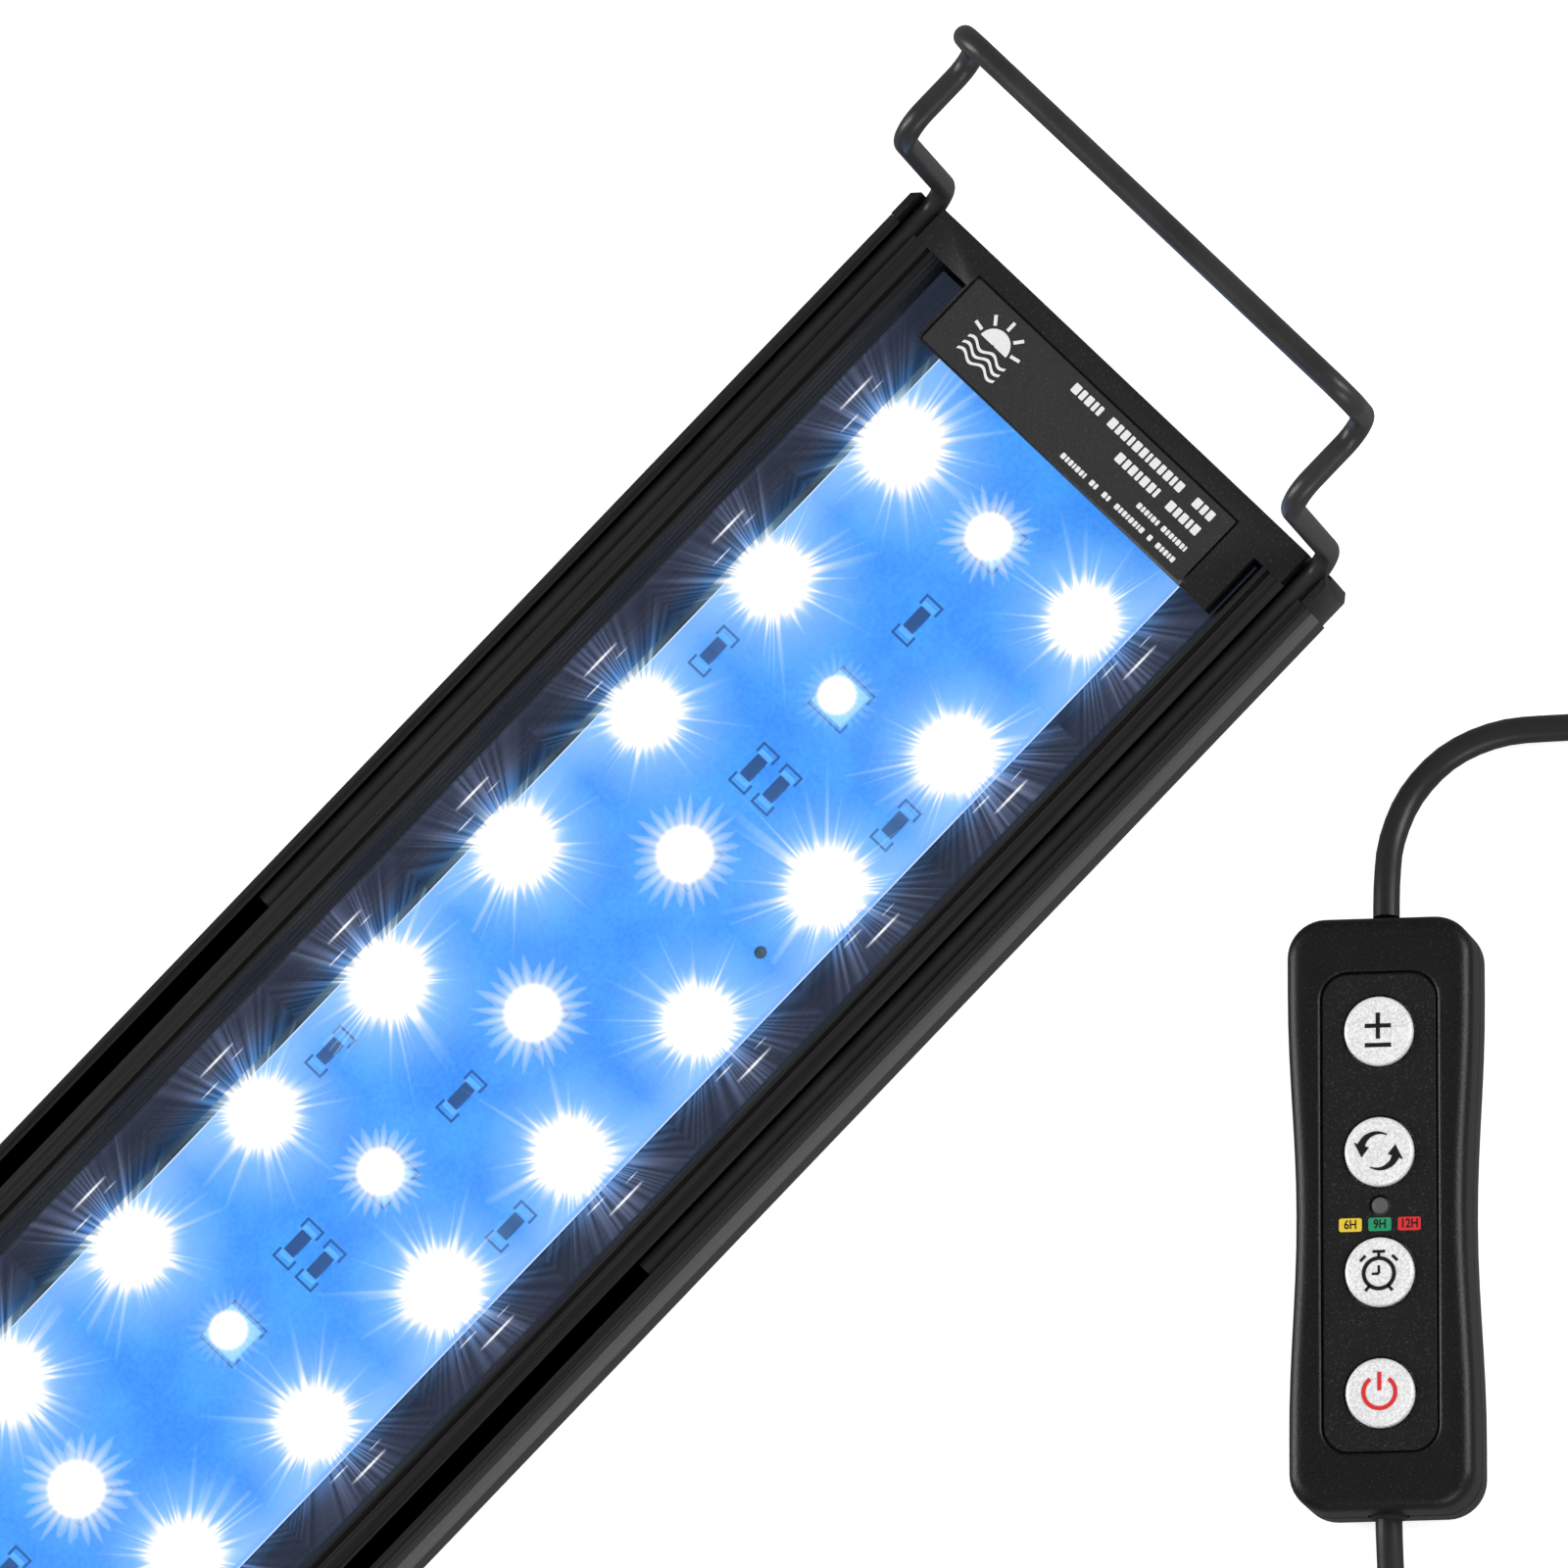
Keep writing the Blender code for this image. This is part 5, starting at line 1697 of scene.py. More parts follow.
class Glyph:
    """Flat outlines of plain signs, in millimetres about their own middle."""

    @staticmethod
    def arc(
        radius: float, start: float, end: float, width: Callable[[float], float], middle: Pair = (0.0, 0.0)
    ) -> Outline:
        """A curved band.

        Args:
            radius: The radius of its middle line.
            start: Where it starts, in degrees.
            end: Where it ends.
            width: Its width at a share of its length.
            middle: The middle of its circle.

        Returns:
            The band's outline.
        """
        steps = max(4, round(abs(end - start) / 7))
        outer, inner = [], []
        for step in range(steps + 1):
            share = step / steps
            angle = math.radians(start + (end - start) * share)
            for side, line in ((1, outer), (-1, inner)):
                reach = radius + side * width(share) / 2
                line.append((middle[0] + reach * math.cos(angle), middle[1] + reach * math.sin(angle)))
        return outer + inner[::-1]

    @staticmethod
    def bar(x: float, y: float, length: float, width: float, angle: float = 0.0) -> Outline:
        """A straight stroke about a middle point."""
        turn = math.radians(angle)
        cos, sin = math.cos(turn), math.sin(turn)
        corners = Forge.rectangle(length / 2, width / 2)
        return [(x + a * cos - b * sin, y + a * sin + b * cos) for a, b in corners]

    @classmethod
    def sun(cls, radius: float, reach: float) -> list[Outline]:
        """A half disc with rays over it."""
        shapes = [cls.arc(radius * 0.5, 0.0, 180.0, lambda share: radius * 0.9)]
        for angle in (12.0, 51.0, 90.0, 129.0, 168.0):
            turn = math.radians(angle)
            middle = (radius + reach) / 2 + 0.25
            shapes.append(
                cls.bar(middle * math.cos(turn), middle * math.sin(turn), reach - radius, 0.42, angle)
            )
        return shapes

    @staticmethod
    def waves(half: float, count: int) -> list[Outline]:
        """Wavy lines under one another."""
        shapes = []
        for line in range(count):
            upper, lower = [], []
            for step in range(25):
                x = half * (step / 12 - 1.0)
                y = 0.35 * math.sin(x * 2.0) - 1.1 - 0.95 * line
                upper.append((x, y + 0.19))
                lower.append((x, y - 0.19))
            shapes.append(lower + upper[::-1])
        return shapes

    @classmethod
    def plus_minus(cls) -> list[Outline]:
        """A plus over a minus."""
        stroke = 0.5
        half = 1.55
        arm = half - stroke / 2
        return [
            cls.bar(0.0, 0.55, 2 * half, stroke),
            cls.bar(0.0, 0.55 + (arm + stroke) / 2, arm, stroke, 90.0),
            cls.bar(0.0, 0.55 - (arm + stroke) / 2, arm, stroke, 90.0),
            cls.bar(0.0, -1.75, 2 * half, stroke),
        ]

    @classmethod
    def cycle(cls) -> list[Outline]:
        """Two tapered arrows that follow each other round."""
        shapes = []
        for start in (62.0, 242.0):
            end = start + 98.0
            shapes.append(cls.arc(2.15, start, end, lambda share: 0.12 + 0.78 * share))
            tip, base = math.radians(end + 40.0), math.radians(end)
            head = [
                (1.2 * math.cos(base), 1.2 * math.sin(base)), (3.1 * math.cos(base), 3.1 * math.sin(base))
            ]
            head.append((2.15 * math.cos(tip), 2.15 * math.sin(tip)))
            shapes.append(head)
        return shapes

    @classmethod
    def alarm_clock(cls) -> list[Outline]:
        """A clock with its bell and feet."""
        face = (0.0, -0.25)
        shapes = [
            cls.arc(1.8, start, start + 180.0, lambda share: 0.46, face) for start in (0.0, 180.0)
        ]
        shapes += [cls.bar(0.0, 0.22, 0.95, 0.3, 90.0), cls.bar(-0.42, -0.3, 0.84, 0.3)]
        shapes += [cls.bar(0.0, 2.35, 1.5, 0.34), cls.bar(0.0, 1.95, 0.5, 0.34, 90.0)]
        shapes += [cls.bar(sign * 1.9, 1.55, 0.9, 0.34, -sign * 45.0) for sign in (-1, 1)]
        shapes += [cls.bar(sign * 1.35, -2.0, 0.8, 0.34, -sign * 50.0) for sign in (-1, 1)]
        return shapes

    @classmethod
    def power(cls) -> list[Outline]:
        """A broken ring with a stroke in its gap."""
        return [cls.arc(1.9, 125.0, 415.0, lambda share: 0.5), cls.bar(0.0, 1.3, 2.2, 0.5, 90.0)]


# ---------------------------------------------------------------------------
# Light engine
# ---------------------------------------------------------------------------


@dataclass
class LightEngine:
    """The board with its lamps and resistors, the pad under it, its leads and the clear cover."""

    rows: RowTree
    side_row: LampRow
    middle_row: LampRow
    side_lamp: Pair = (5.7, 3.0)
    middle_lamp: float = 5.0
    resistor: Pair = (3.2, 1.6)

    @staticmethod
    def block(
        name: str, size: Pair, low: float, high: float, corner: float, finish: Material
    ) -> Object:
        """A small moulded block with rounded corners and an eased top.

        Args:
            name: The piece's name.
            size: Its length and width.
            low: Its underside.
            high: Its top.
            corner: The rounding of its corners.
            finish: Its material.

        Returns:
            The block.
        """
        rings = []
        for inset, height in ((0.0, low), (0.0, high - 0.12), (0.12, high)):
            a, b = size[0] / 2 - inset, size[1] / 2 - inset
            outline = Forge.rounded(Forge.rectangle(a, b), corner, 2)
            rings.append([Vector((x, y, height)) for x, y in outline])
        return Forge.loft(name, rings, finish)

    @staticmethod
    def bracket_marks(name: str, half: Pair, stroke: float, low: float, finish: Material) -> Object:
        """The printed square brackets round a small part.

        Args:
            name: The piece's name.
            half: Half the length and width they enclose.
            stroke: The line's width.
            low: The height that they lie at.
            finish: Their material.

        Returns:
            The marks.
        """
        bm = bmesh.new()
        a, b = half
        for sign in (-1, 1):
            shapes = [Glyph.bar(sign * a, 0.0, 2 * b, stroke, 90.0)]
            shapes += [Glyph.bar(sign * (a - 0.7), hand * (b - stroke / 2), 1.2, stroke) for hand in (-1, 1)]
            for shape in shapes:
                Forge.add_plate(bm, [Vector((x, y, low)) for x, y in shape], Vector((0.0, 0.0, 0.03)))
        return Forge.piece(name, bm, [finish])

    def lay(
        self, shop: Workshop, name: str, form: Object, finish: Finish, row: LampRow, side: float, *nodes: str
    ) -> None:
        """Set one form along a row of the board.

        Args:
            shop: The workshop.
            name: The new piece's name.
            form: The form to copy.
            finish: Its finish.
            row: The row it follows.
            side: Which side of the middle the row is on, -1, 0 or 1.
            nodes: The nodes that it stands for.
        """
        start = (row.first_x, row.offset_y * side, 0.0)
        made = self.rows.row(name, form, row.count, start, (-row.pitch, 0.0, 0.0), shop.palette[finish])
        shop.deliver(made, LAMP_BODY, "lamp", *nodes)

    def build(self, shop: Workshop) -> None:
        """Dress the board and set its lamps, resistors and cover."""
        shop.dress("led_board", Finish.BOARD)
        shop.dress("thermal_pad", Finish.PAD)
        shop.dress("lead_wire_positive", Finish.LEAD_RED)
        shop.dress("lead_wire_negative", Finish.LEAD_BLACK)
        board_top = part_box("led_board")[1].z / MM
        low, high = (corner.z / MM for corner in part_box("front_lamp_row"))
        finish = shop.palette
        long_body = self.block(
            "long_lamp_form", self.side_lamp, low, high - 0.08, 0.25, finish[Finish.LAMP_BODY]
        )
        window = (self.side_lamp[0] - 1.1, self.side_lamp[1] - 0.7)
        long_window = self.block(
            "long_window_form", window, high - 0.2, high, 0.5, finish[Finish.LAMP_WINDOW]
        )
        square = (self.middle_lamp, self.middle_lamp)
        square_body = self.block("square_lamp_form", square, low, high - 0.08, 0.25, finish[Finish.LAMP_BODY])
        disc = [(0.0, 1.7), (0.14, 1.7), (0.2, 1.62)]
        round_window = Forge.turned(
            "round_window_form", disc, (0, 0, high - 0.2), (0, 0, 1), finish[Finish.LAMP_WINDOW], 24
        )
        for side, name in ((-1, "front"), (1, "rear")):
            self.lay(
                shop, f"{name}_lamps", long_body, Finish.LAMP_BODY, self.side_row, side, f"{name}_lamp_row"
            )
            self.lay(shop, f"{name}_lamp_windows", long_window, Finish.LAMP_WINDOW, self.side_row, side)
        self.lay(shop, "middle_lamps", square_body, Finish.LAMP_BODY, self.middle_row, 0, "middle_lamp_row")
        self.lay(shop, "middle_lamp_windows", round_window, Finish.LAMP_WINDOW, self.middle_row, 0)
        marks = self.bracket_marks("square_marks_form", (2.95, 2.8), 0.22, board_top, finish[Finish.SILK])
        self.lay(shop, "middle_lamp_marks", marks, Finish.SILK, self.middle_row, 0)
        forms = [long_body, long_window, square_body, round_window, marks]
        forms += self.resistors(shop, board_top)
        for form in forms:
            bpy.data.objects.remove(form)
        shop.refine("clear_cover", Finish.GLARE, LAMP_BODY, "cover", 0.2)

    def resistors(self, shop: Workshop, board_top: float) -> list[Object]:
        """Set the resistors with their joints and printed brackets.

        Args:
            shop: The workshop.
            board_top: The height of the board's face.

        Returns:
            The forms that were copied.
        """
        finish = shop.palette
        body = self.block(
            "resistor_form", self.resistor, board_top + 0.05, board_top + 0.6, 0.08, finish[Finish.RESISTOR]
        )
        bm = bmesh.new()
        for sign in (-1, 1):
            shape = Forge.rounded(
                [(sign * 1.1, -0.95), (sign * 2.35, -0.95), (sign * 2.35, 0.95), (sign * 1.1, 0.95)], 0.2, 2
            )
            Forge.add_plate(bm, [Vector((x, y, board_top)) for x, y in shape], Vector((0.0, 0.0, 0.18)))
        joints = Forge.piece("joints_form", bm, [finish[Finish.SOLDER]])
        marks = self.bracket_marks("resistor_marks_form", (3.0, 1.4), 0.3, board_top, finish[Finish.SILK])
        side, middle = self.side_row, self.middle_row
        places = (
            ("front_resistor", side, 1.5, 6, -side.offset_y), ("rear_resistor", side, 1.5, 6, side.offset_y),
            ("single_resistor", middle, 0.5, 5, 0.0),
            ("pair_resistor_low", middle, 1.5, 5, -1.9), ("pair_resistor_high", middle, 1.5, 5, 1.9),
        )
        for name, lamps, skip, count, y in places:
            row = LampRow(lamps.first_x - skip * lamps.pitch, 3 * lamps.pitch, count, y, 0, 0)
            self.lay(shop, f"{name}_bodies", body, Finish.RESISTOR, row, 1)
            self.lay(shop, f"{name}_joints", joints, Finish.SOLDER, row, 1)
            self.lay(shop, f"{name}_marks", marks, Finish.SILK, row, 1)
        return [body, joints, marks]


# ---------------------------------------------------------------------------
# Brackets
# ---------------------------------------------------------------------------


@dataclass
class Brackets:
    """The two bent wires that slide in the housing's channels."""

    wires: WireTree
    radius: float = 1.4
    leg_start: float = 95.0
    riser: float = 211.9
    hook: float = 225.4
    leg_z: float = 12.5
    arm_z: float = 45.5
    bar_z: float = 58.8
    half_width: float = 32.3
    bend: float = 4.2
    bend_steps: int = 14

    def path(self, side: int) -> list[Vector]:
        """The middle line of one bracket, with round bends."""
        near = [
            (self.leg_start, self.leg_z), (self.riser, self.leg_z), (self.riser, self.arm_z),
            (self.hook, self.arm_z), (self.hook, self.bar_z),
        ]
        corners = [Vector((side * x, -self.half_width, z)) for x, z in near]
        corners += [Vector((side * x, self.half_width, z)) for x, z in reversed(near)]
        points = [corners[0]]
        for before, corner, after in zip(corners, corners[1:], corners[2:]):
            back, ahead = (before - corner).normalized(), (after - corner).normalized()
            half = back.angle(ahead) / 2
            middle = corner + (back + ahead).normalized() * self.bend / math.sin(half)
            first = corner + back * self.bend / math.tan(half) - middle
            last = corner + ahead * self.bend / math.tan(half) - middle
            steps = range(self.bend_steps + 1)
            points += [middle + first.slerp(last, step / self.bend_steps) * self.bend for step in steps]
        return points + [corners[-1]]

    def build(self, shop: Workshop) -> None:
        """Bend both wires."""
        for name, side in (("right", 1), ("left", -1)):
            wire = self.wires.bar(
                f"{name}_bent_wire", self.path(side), self.radius, 24, shop.palette[Finish.WIRE]
            )
            shop.deliver(wire, f"{name}_bracket", "bracket", f"bracket_{name}")


# ---------------------------------------------------------------------------
# Controller
# ---------------------------------------------------------------------------


@dataclass
class Key:
    """One round key of the controller."""

    node: str
    body: str
    along: float
    sign: list[Outline]
    ink: Finish


@dataclass
class Controller:
    """The inline controller: shells, keypad, keys with their signs, and what is inside."""

    frame: ControllerFrame
    rows: RowTree
    half_length: float = 35.25
    half_width: float = 11.1
    waist: float = 0.95
    waist_reach: float = 26.0
    corner: float = 4.6
    wall: float = 1.6
    top: float = 11.5
    keypad_half: Pair = (7.0, 28.65)
    keypad_corner: float = 3.3
    roof_low: float = 9.3
    roof_top: float = 10.6
    parting: Pair = (5.2, 5.5)
    key_radius: float = 4.1
    gap: float = 0.3
    indicator: Pair = (0.8, 1.0)
    screw_places: Pair = (5.9, 28.9)
    marks: tuple[tuple[str, float, Finish], ...] = (
        ("6H", -3.5, Finish.YELLOW_INK), ("9H", 0.0, Finish.GREEN_INK), ("12H", 3.5, Finish.RED_INK),
    )
    marks_along: float = -1.45
    mark_half: Pair = (1.36, 0.8)
    letter_size: float = 1.5
    letter_squeeze: float = 0.84

    def ring(self, half: Pair, corner: float, waist: float, height: float) -> Ring:
        """A rounded outline whose long sides are drawn in by a waist.

        Args:
            half: Half its width and length.
            corner: The radius of its corners.
            waist: How far its sides are drawn in at the middle.
            height: Its height.

        Returns:
            The ring's points.
        """
        corner_steps, side_steps = 10, 16
        straight = half[1] - corner
        points = []
        for quarter, (sign_x, sign_y) in enumerate(((1, 1), (-1, 1), (-1, -1), (1, -1))):
            for step in range(corner_steps + 1):
                angle = math.pi / 2 * (quarter + step / corner_steps)
                x = sign_x * (half[0] - corner) + corner * math.cos(angle)
                points.append((x, sign_y * straight + corner * math.sin(angle)))
            if quarter in (1, 3):
                for step in range(1, side_steps):
                    y = sign_y * straight * (1 - 2 * step / side_steps)
                    drawn = waist * 0.5 * (1 + math.cos(math.pi * min(1.0, abs(y) / self.waist_reach)))
                    points.append((sign_x * (half[0] - drawn), y))
        return [self.frame(x, y, height) for x, y in points]

    def body_ring(self, inset: float, height: float) -> Ring:
        """A ring of the body's outline, drawn in by an inset."""
        half = (self.half_width - inset, self.half_length - inset)
        return self.ring(half, max(self.corner - inset, 1.2), self.waist, height)

    def keypad_ring(self, inset: float, height: float) -> Ring:
        """A ring of the keypad's outline, drawn in by an inset."""
        half = (self.keypad_half[0] - inset, self.keypad_half[1] - inset)
        return self.ring(half, self.keypad_corner - inset, 0.0, height)

    def hole(
        self, name: str, across: float, along: float, radius: float, low: float, high: float, finish: Material
    ) -> Object:
        """A solid that cuts an upright hole."""
        return Forge.turned(
            name, [(0.0, radius), (high - low, radius)], self.frame(across, along, low), (0, 0, 1), finish, 56
        )

    def cord_ways(self, finish: Material) -> list[Object]:
        """Solids that cut the cord's way through both ends."""
        ways = []
        for side in (-1, 1):
            start = self.frame(0.0, side * (self.half_length - 3.0), 5.35)
            ways.append(Forge.turned(
                f"way_{side}", [(0.0, 2.5), (5.0, 2.5)], start, self.frame.along * side, finish, 32
            ))
        return ways

    def keys(self) -> list[Key]:
        """The four keys, each placed from its node."""
        signs = {
            "level": (Glyph.plus_minus(), Finish.BLACK_INK), "cycle": (Glyph.cycle(), Finish.BLACK_INK),
            "timer": (Glyph.alarm_clock(), Finish.BLACK_INK), "power": (Glyph.power(), Finish.RED_INK),
        }
        made = []
        for name, (sign, ink) in signs.items():
            along = self.frame.local(self.frame.middle(f"{name}_button"))[1]
            made.append(Key(f"{name}_button", f"{name}_key", along, sign, ink))
        return made

    def shells(self, shop: Workshop, keys: Sequence[Key]) -> list[Object]:
        """Both shells, the upper one with the keypad's recess and its holes.

        Args:
            shop: The workshop.
            keys: The keys that pass through it.

        Returns:
            The two shells.
        """
        plastic = shop.palette[Finish.CONTROLLER]
        rings = [self.body_ring(self.wall, self.roof_low), self.body_ring(self.wall, self.parting[1])]
        rings += [self.body_ring(0.12, self.parting[1]), self.body_ring(0.0, self.parting[1] + 0.15)]
        edge = ((0.0, 9.7), (0.07, 10.2), (0.24, 10.65), (0.52, 11.02), (0.9, 11.3), (1.35, 11.45))
        edge += ((1.85, self.top),)
        rings += [self.body_ring(inset, height) for inset, height in edge]
        rim = ((-0.42, self.top), (-0.2, 11.46), (-0.06, 11.36), (0.0, 11.2), (0.0, self.roof_top))
        rings += [self.keypad_ring(inset, height) for inset, height in rim]
        upper = Forge.loft("controller_upper_shell", rings, plastic)
        tools = self.cord_ways(plastic)
        for key in keys:
            tools.append(
                self.hole(f"{key.node}_hole", 0.0, key.along, self.key_radius + self.gap, 8.5, 13.0, plastic)
            )
        along, radius = self.indicator
        tools.append(self.hole("indicator_hole", 0.0, along, radius + self.gap, 8.5, 13.0, plastic))
        upper = shop.deliver(Forge.carved(upper, tools), LAMP_BODY, "controller", "controller_top_shell")
        rings = [self.body_ring(self.wall, 1.5), self.body_ring(self.wall, self.parting[0])]
        rings += [self.body_ring(0.12, self.parting[0]), self.body_ring(0.0, self.parting[0] - 0.15)]
        edge = ((0.0, 1.5), (0.12, 0.95), (0.4, 0.45), (0.85, 0.12), (1.4, 0.0))
        rings += [self.body_ring(inset, height) for inset, height in edge]
        lower = Forge.loft("controller_lower_shell", rings, plastic)
        tools = self.cord_ways(plastic)
        x, y = self.screw_places
        for index, (a, b) in enumerate(((x, y), (-x, y), (-x, -y), (x, -y))):
            tools.append(self.hole(f"seat_{index}", a, b, 2.2, -1.0, 1.8, plastic))
        lower = shop.deliver(Forge.carved(lower, tools), LAMP_BODY, "controller", "controller_bottom_shell")
        return [upper, lower]

    def overlay(self, shop: Workshop, keys: Sequence[Key]) -> list[Object]:
        """The keypad's overlay, its coloured marks and the indicator.

        Args:
            shop: The workshop.
            keys: The keys that pass through it.

        Returns:
            The pieces.
        """
        finish = shop.palette[Finish.KEYPAD]
        rings = [
            self.keypad_ring(inset, height) for inset, height in ((0.3, 10.9), (0.3, 11.14), (0.38, 11.2))
        ]
        sheet = Forge.loft("keypad_sheet", rings, finish)
        reach = self.key_radius + self.gap
        tools = [self.hole(f"{key.node}_cut", 0.0, key.along, reach, 10.0, 13.0, finish) for key in keys]
        along, radius = self.indicator
        tools.append(self.hole("indicator_cut", 0.0, along, radius + self.gap, 10.0, 13.0, finish))
        sheet = shop.deliver(Forge.carved(sheet, tools), LAMP_BODY, "keypad", "keypad_overlay")
        dome = [(0.0, 1.25), (0.6, 1.25), (0.6, radius), (2.55, radius)]
        dome += [(2.75, radius * 0.9), (2.86, radius * 0.6), (2.9, radius * 0.2)]
        lens = Forge.turned(
            "indicator_dome", dome, self.frame(0.0, along, 8.4), (0, 0, 1), shop.palette[Finish.LENS], 40
        )
        lens = shop.deliver(lens, LAMP_BODY, "lens", "indicator_lens")
        return [sheet, lens, self.time_marks(shop)]

    def time_marks(self, shop: Workshop) -> Object:
        """The three coloured fields with their hours."""
        bm = bmesh.new()
        for index, (text, across, _) in enumerate(self.marks):
            corners = Forge.rounded(Forge.rectangle(*self.mark_half), 0.3, 4)
            outline = [self.frame(across + a, self.marks_along + b, 11.19) for a, b in corners]
            Forge.add_plate(bm, outline, Vector((0.0, 0.0, 0.04)), index + 1)
            self.letters(bm, text, across)
        finishes = [shop.palette[Finish.BLACK_INK]] + [shop.palette[mark[2]] for mark in self.marks]
        return shop.deliver(Forge.piece("hour_marks", bm, finishes), LAMP_BODY, "keypad")

    def letters(self, bm: Mesh, text: str, across: float) -> None:
        """Add an hour's digits and letter as thin plates.

        Args:
            bm: The mesh to add to.
            text: What the mark says.
            across: Where its middle lies across the keypad.
        """
        data = bpy.data.curves.new(text, "FONT")
        data.body = text
        data.size = self.letter_size
        data.extrude = 0.02
        data.offset = 0.022
        data.align_x, data.align_y = "CENTER", "CENTER"
        data.resolution_u = 3
        holder = Forge.link(text, data)
        bpy.context.view_layer.update()
        mesh = bpy.data.meshes.new_from_object(holder.evaluated_get(bpy.context.evaluated_depsgraph_get()))
        bpy.data.objects.remove(holder)
        for vert in mesh.vertices:
            x, y, z = vert.co
            vert.co = self.frame(across + x * self.letter_squeeze, self.marks_along + y, 11.24 + z)
        for polygon in mesh.polygons:
            polygon.material_index = 0
        bm.from_mesh(mesh)
        bpy.data.meshes.remove(mesh)

    def key(self, shop: Workshop, key: Key) -> Object:
        """One key with its flange, eased rim and printed sign."""
        r = self.key_radius
        profile = [(0.0, 1.5), (0.2, 1.5), (0.2, 4.8), (1.2, 4.8), (1.2, r), (3.7, r)]
        profile += [(3.92, r - 0.05), (4.08, r - 0.2)]
        profile += [(4.17, r - 0.45), (4.22, r - 0.9), (4.26, r - 1.8), (4.28, r - 2.8), (4.29, 0.5)]
        bm = bmesh.new()
        Forge.add_loft(bm, Forge.turned_rings(profile, self.frame(0.0, key.along, 7.8), (0, 0, 1), 72))
        for shape in key.sign:
            outline = [self.frame(a, key.along + b, 12.0) for a, b in shape]
            Forge.add_plate(bm, outline, Vector((0.0, 0.0, 0.125)), 1)
        piece = Forge.piece(f"{key.body}_cap", bm, [shop.palette[Finish.KEY], shop.palette[key.ink]])
        return shop.deliver(piece, key.body, "button", key.node)

    def fittings(self, shop: Workshop) -> list[Object]:
        """The screws from below, the bushes, and the board with its switches.

        Args:
            shop: The workshop.

        Returns:
            The new pieces.
        """
        steel = shop.palette[Finish.ZINC]
        x, y = self.screw_places
        form = CrossScrew(1.9, 1.3, 0.9, 6.0, 1.15).build("shell_screw_form", (0, 0, 1), steel)
        pieces = []
        for name, across, nodes in (("a", -x, (1, 2)), ("b", x, (3, 4))):
            step = self.frame.along * (2 * y)
            pair = self.rows.row(f"shell_screws_{name}", form, 2, self.frame(across, -y, 1.0), step, steel)
            pieces.append(
                shop.deliver(pair, LAMP_BODY, "screw", *(f"shell_screw_{index}" for index in nodes))
            )
        bpy.data.objects.remove(form)
        for name, side in (("plug_side_bush", 1), ("lamp_side_bush", -1)):
            profile = [(0.0, 2.9), (0.9, 2.9), (0.9, 2.2), (2.9, 2.2), (3.15, 2.12), (3.3, 1.9)]
            profile += [(3.3, 1.62), (0.0, 1.62)]
            start = self.frame(0.0, side * 32.4, 5.35)
            rings = Forge.turned_rings(profile, start, self.frame.along * side, 32)
            bush = Forge.loft(f"{name}_ring", rings, shop.palette[Finish.RUBBER], closed=True)
            pieces.append(shop.deliver(bush, LAMP_BODY, "gasket", name))
        shop.dress("controller_board", Finish.GREEN_BOARD)
        for name in ("level", "cycle", "timer", "power"):
            shop.dress(f"{name}_switch", Finish.SWITCH)
        return pieces

    def build(self, shop: Workshop) -> list[Object]:
        """Make the whole controller and return its pieces."""
        keys = self.keys()
        pieces = self.shells(shop, keys) + self.overlay(shop, keys)
        pieces += [self.key(shop, key) for key in keys] + self.fittings(shop)
        return pieces


# ---------------------------------------------------------------------------
# Gland and plug
# ---------------------------------------------------------------------------


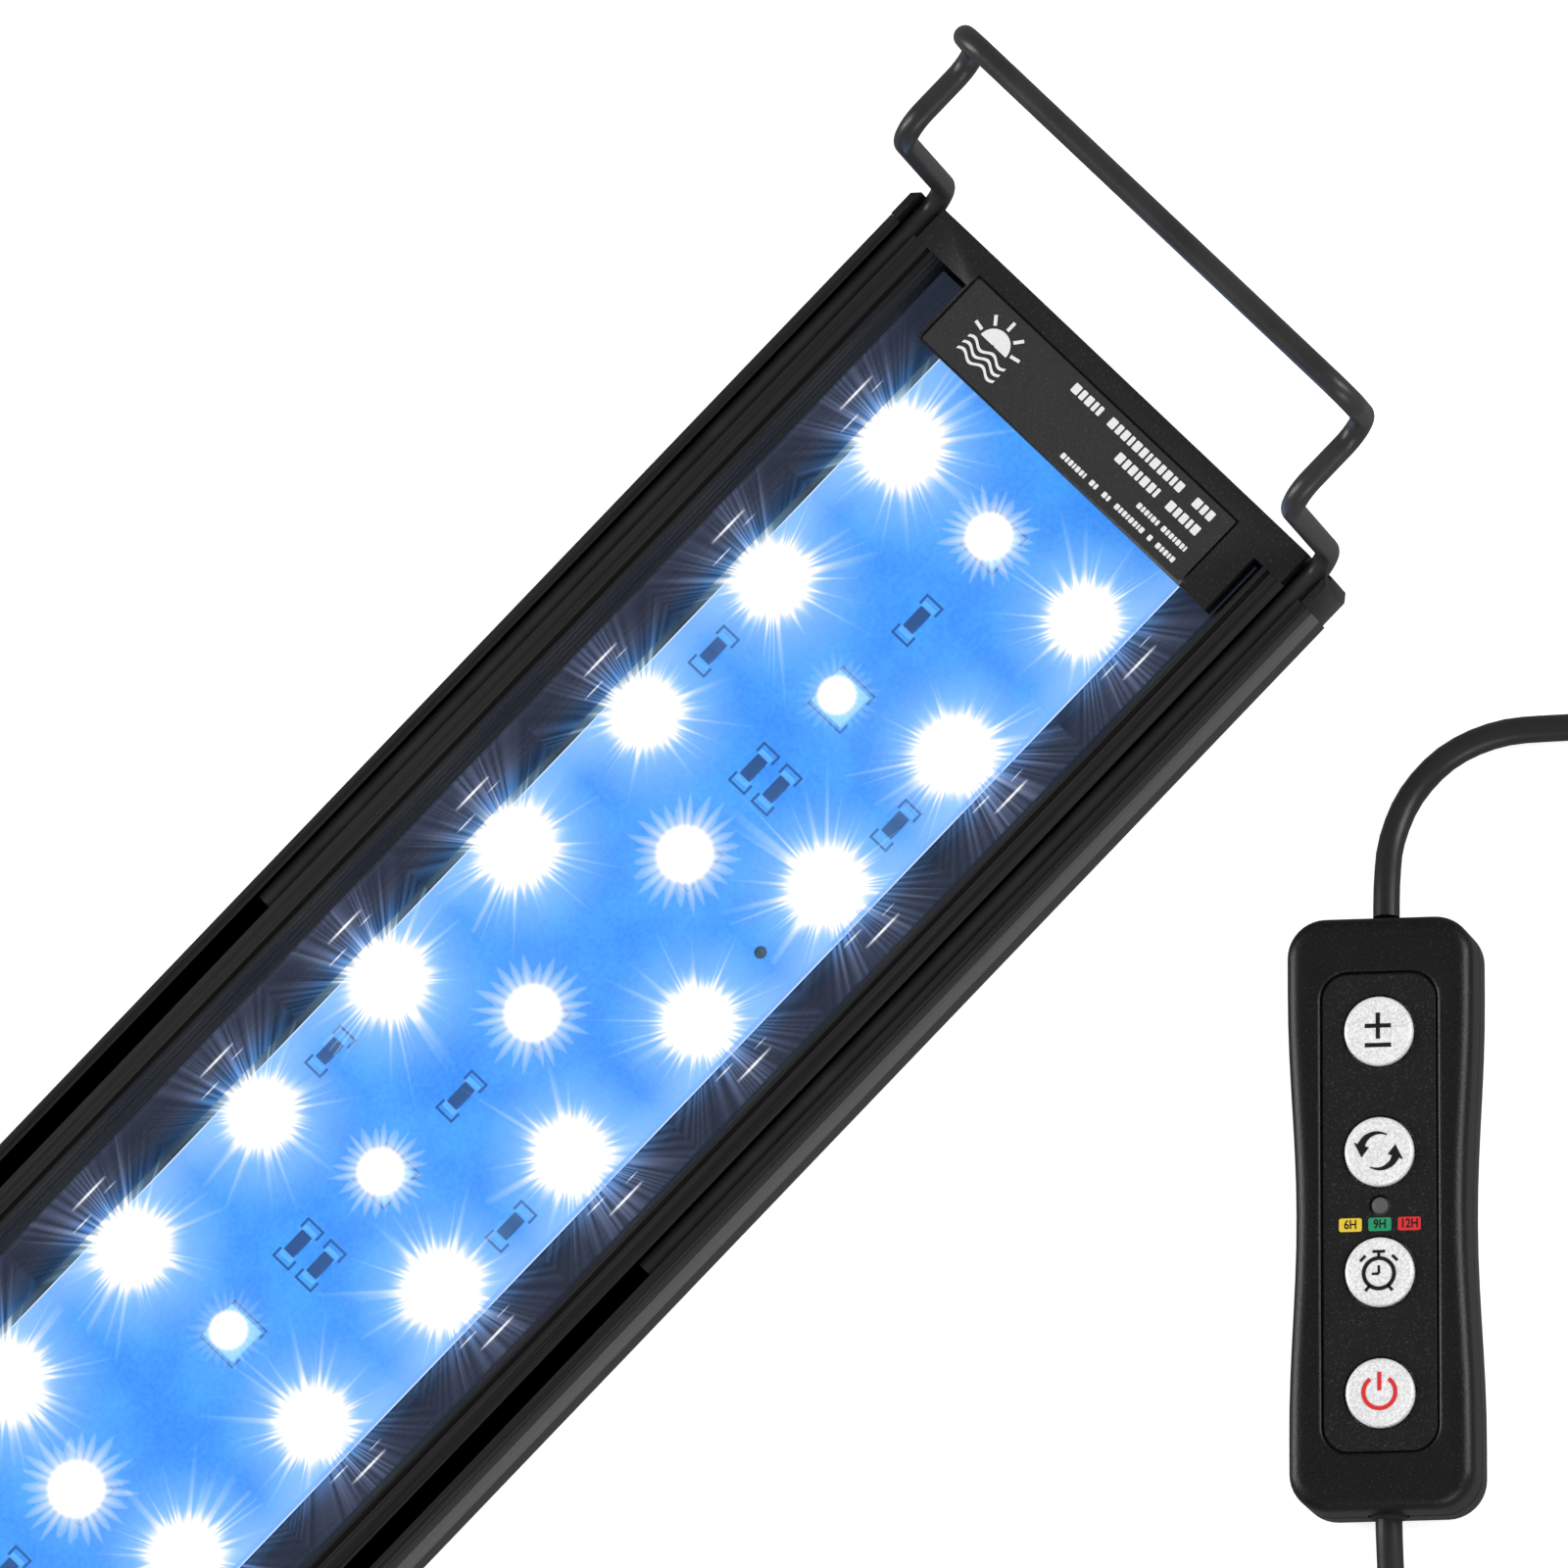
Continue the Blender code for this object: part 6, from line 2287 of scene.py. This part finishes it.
@dataclass
class CordEnds:
    """The ribbed gland in the left cap, and the plug with its ribbed grip."""

    frame: ControllerFrame
    gland: Triple = (-205.0, -12.0, 7.6)
    plug: Triple = (73.9, 24.2, 5.3)
    taper: float = 10.0
    grip: float = 13.0
    barrel: float = 9.5

    @staticmethod
    def ribs(start: float, end: float, radius: Pair, count: int, depth: float) -> Outline:
        """A tapered stretch of a turned form with round ribs.

        Args:
            start: Where it starts along the axis.
            end: Where it ends.
            radius: Its radius at both ends.
            count: How many ribs it has.
            depth: How deep the valleys are.

        Returns:
            The profile's pairs.
        """
        profile = []
        for step in range(count * 8 + 1):
            share = step / (count * 8)
            wave = 0.5 - 0.5 * math.cos(math.tau * count * share)
            outer = radius[0] + (radius[1] - radius[0]) * share
            profile.append((start + (end - start) * share, outer - depth * (1.0 - wave ** 0.5)))
        return profile

    def build(self, shop: Workshop) -> list[Object]:
        """Make both ends and return the plug's pieces."""
        rubber = shop.palette[Finish.RUBBER]
        profile = [(0.0, 1.7), (5.3, 1.7), (5.3, 3.7), (5.45, 3.8), (6.65, 3.8), (6.8, 3.7), (6.8, 2.9)]
        profile += self.ribs(7.0, 18.4, (2.9, 2.25), 6, 0.45) + [(18.8, 2.15), (19.0, 1.9)]
        gland = Forge.turned("ribbed_gland", profile, self.gland, (-1, 0, 0), rubber, 40)
        shop.deliver(gland, LAMP_BODY, "gasket", "cord_gland")
        start, ahead = self.frame(*self.plug), -self.frame.along
        end = self.taper + self.grip
        profile = [(0.0, 1.8), (0.2, 2.1)] + self.ribs(0.4, self.taper - 0.3, (2.15, 3.4), 4, 0.4)
        profile += [(self.taper, 3.4), (self.taper, 4.6), (self.taper + 0.6, 5.1)]
        profile += self.ribs(self.taper + 1.2, end - 2.6, (5.2, 5.2), 7, 0.35)
        profile += [(end - 1.6, 5.2), (end - 0.9, 5.15), (end - 0.3, 4.95), (end, 4.6)]
        grip = Forge.turned("plug_grip", profile, start, ahead, rubber, 48)
        grip = shop.deliver(grip, LAMP_BODY, "cord", "plug_body")
        profile = [(0.0, 2.75), (self.barrel - 1.4, 2.75), (self.barrel - 1.3, 2.6), (self.barrel - 1.1, 2.6)]
        profile += [
            (self.barrel - 1.0, 2.75), (self.barrel - 0.2, 2.75), (self.barrel, 2.6), (self.barrel, 1.35)
        ]
        profile += [(self.barrel - 0.2, 1.25), (1.5, 1.25)]
        metal = shop.palette[Finish.NICKEL]
        barrel = Forge.turned("plug_barrel_sleeve", profile, start + ahead * (end + 0.3), ahead, metal, 48)
        return [grip, shop.deliver(barrel, LAMP_BODY, "plug_metal", "plug_barrel")]


def main() -> None:
    """Build the studio, the cords and every piece of the lamp, in order."""
    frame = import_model()
    side_row = LampRow(186.15, 21.9, 18, 15.4, 4.2, 10.0)
    middle_row = LampRow(185.6, 26.0, 15, 0.0, 2.7, 9.0)
    shop = Workshop(frame, Palette(side_row, middle_row))
    studio = Studio()
    studio.camera()
    studio.floor()
    studio.light()
    controller_frame = ControllerFrame()
    cords = Cords(controller_frame)
    cords.build(shop)
    rows, wires = RowTree(), WireTree()
    Housing().build(shop)
    EndCaps(rows).build(shop)
    LightEngine(rows, side_row, middle_row).build(shop)
    Brackets(wires).build(shop)
    on_lamp_cord = Controller(controller_frame, rows).build(shop)
    on_plug_cord = CordEnds(controller_frame).build(shop)
    cords.declare(on_lamp_cord, on_plug_cord)


if __name__ == "__main__":
    logging.basicConfig(level=logging.INFO, format="%(message)s")
    main()
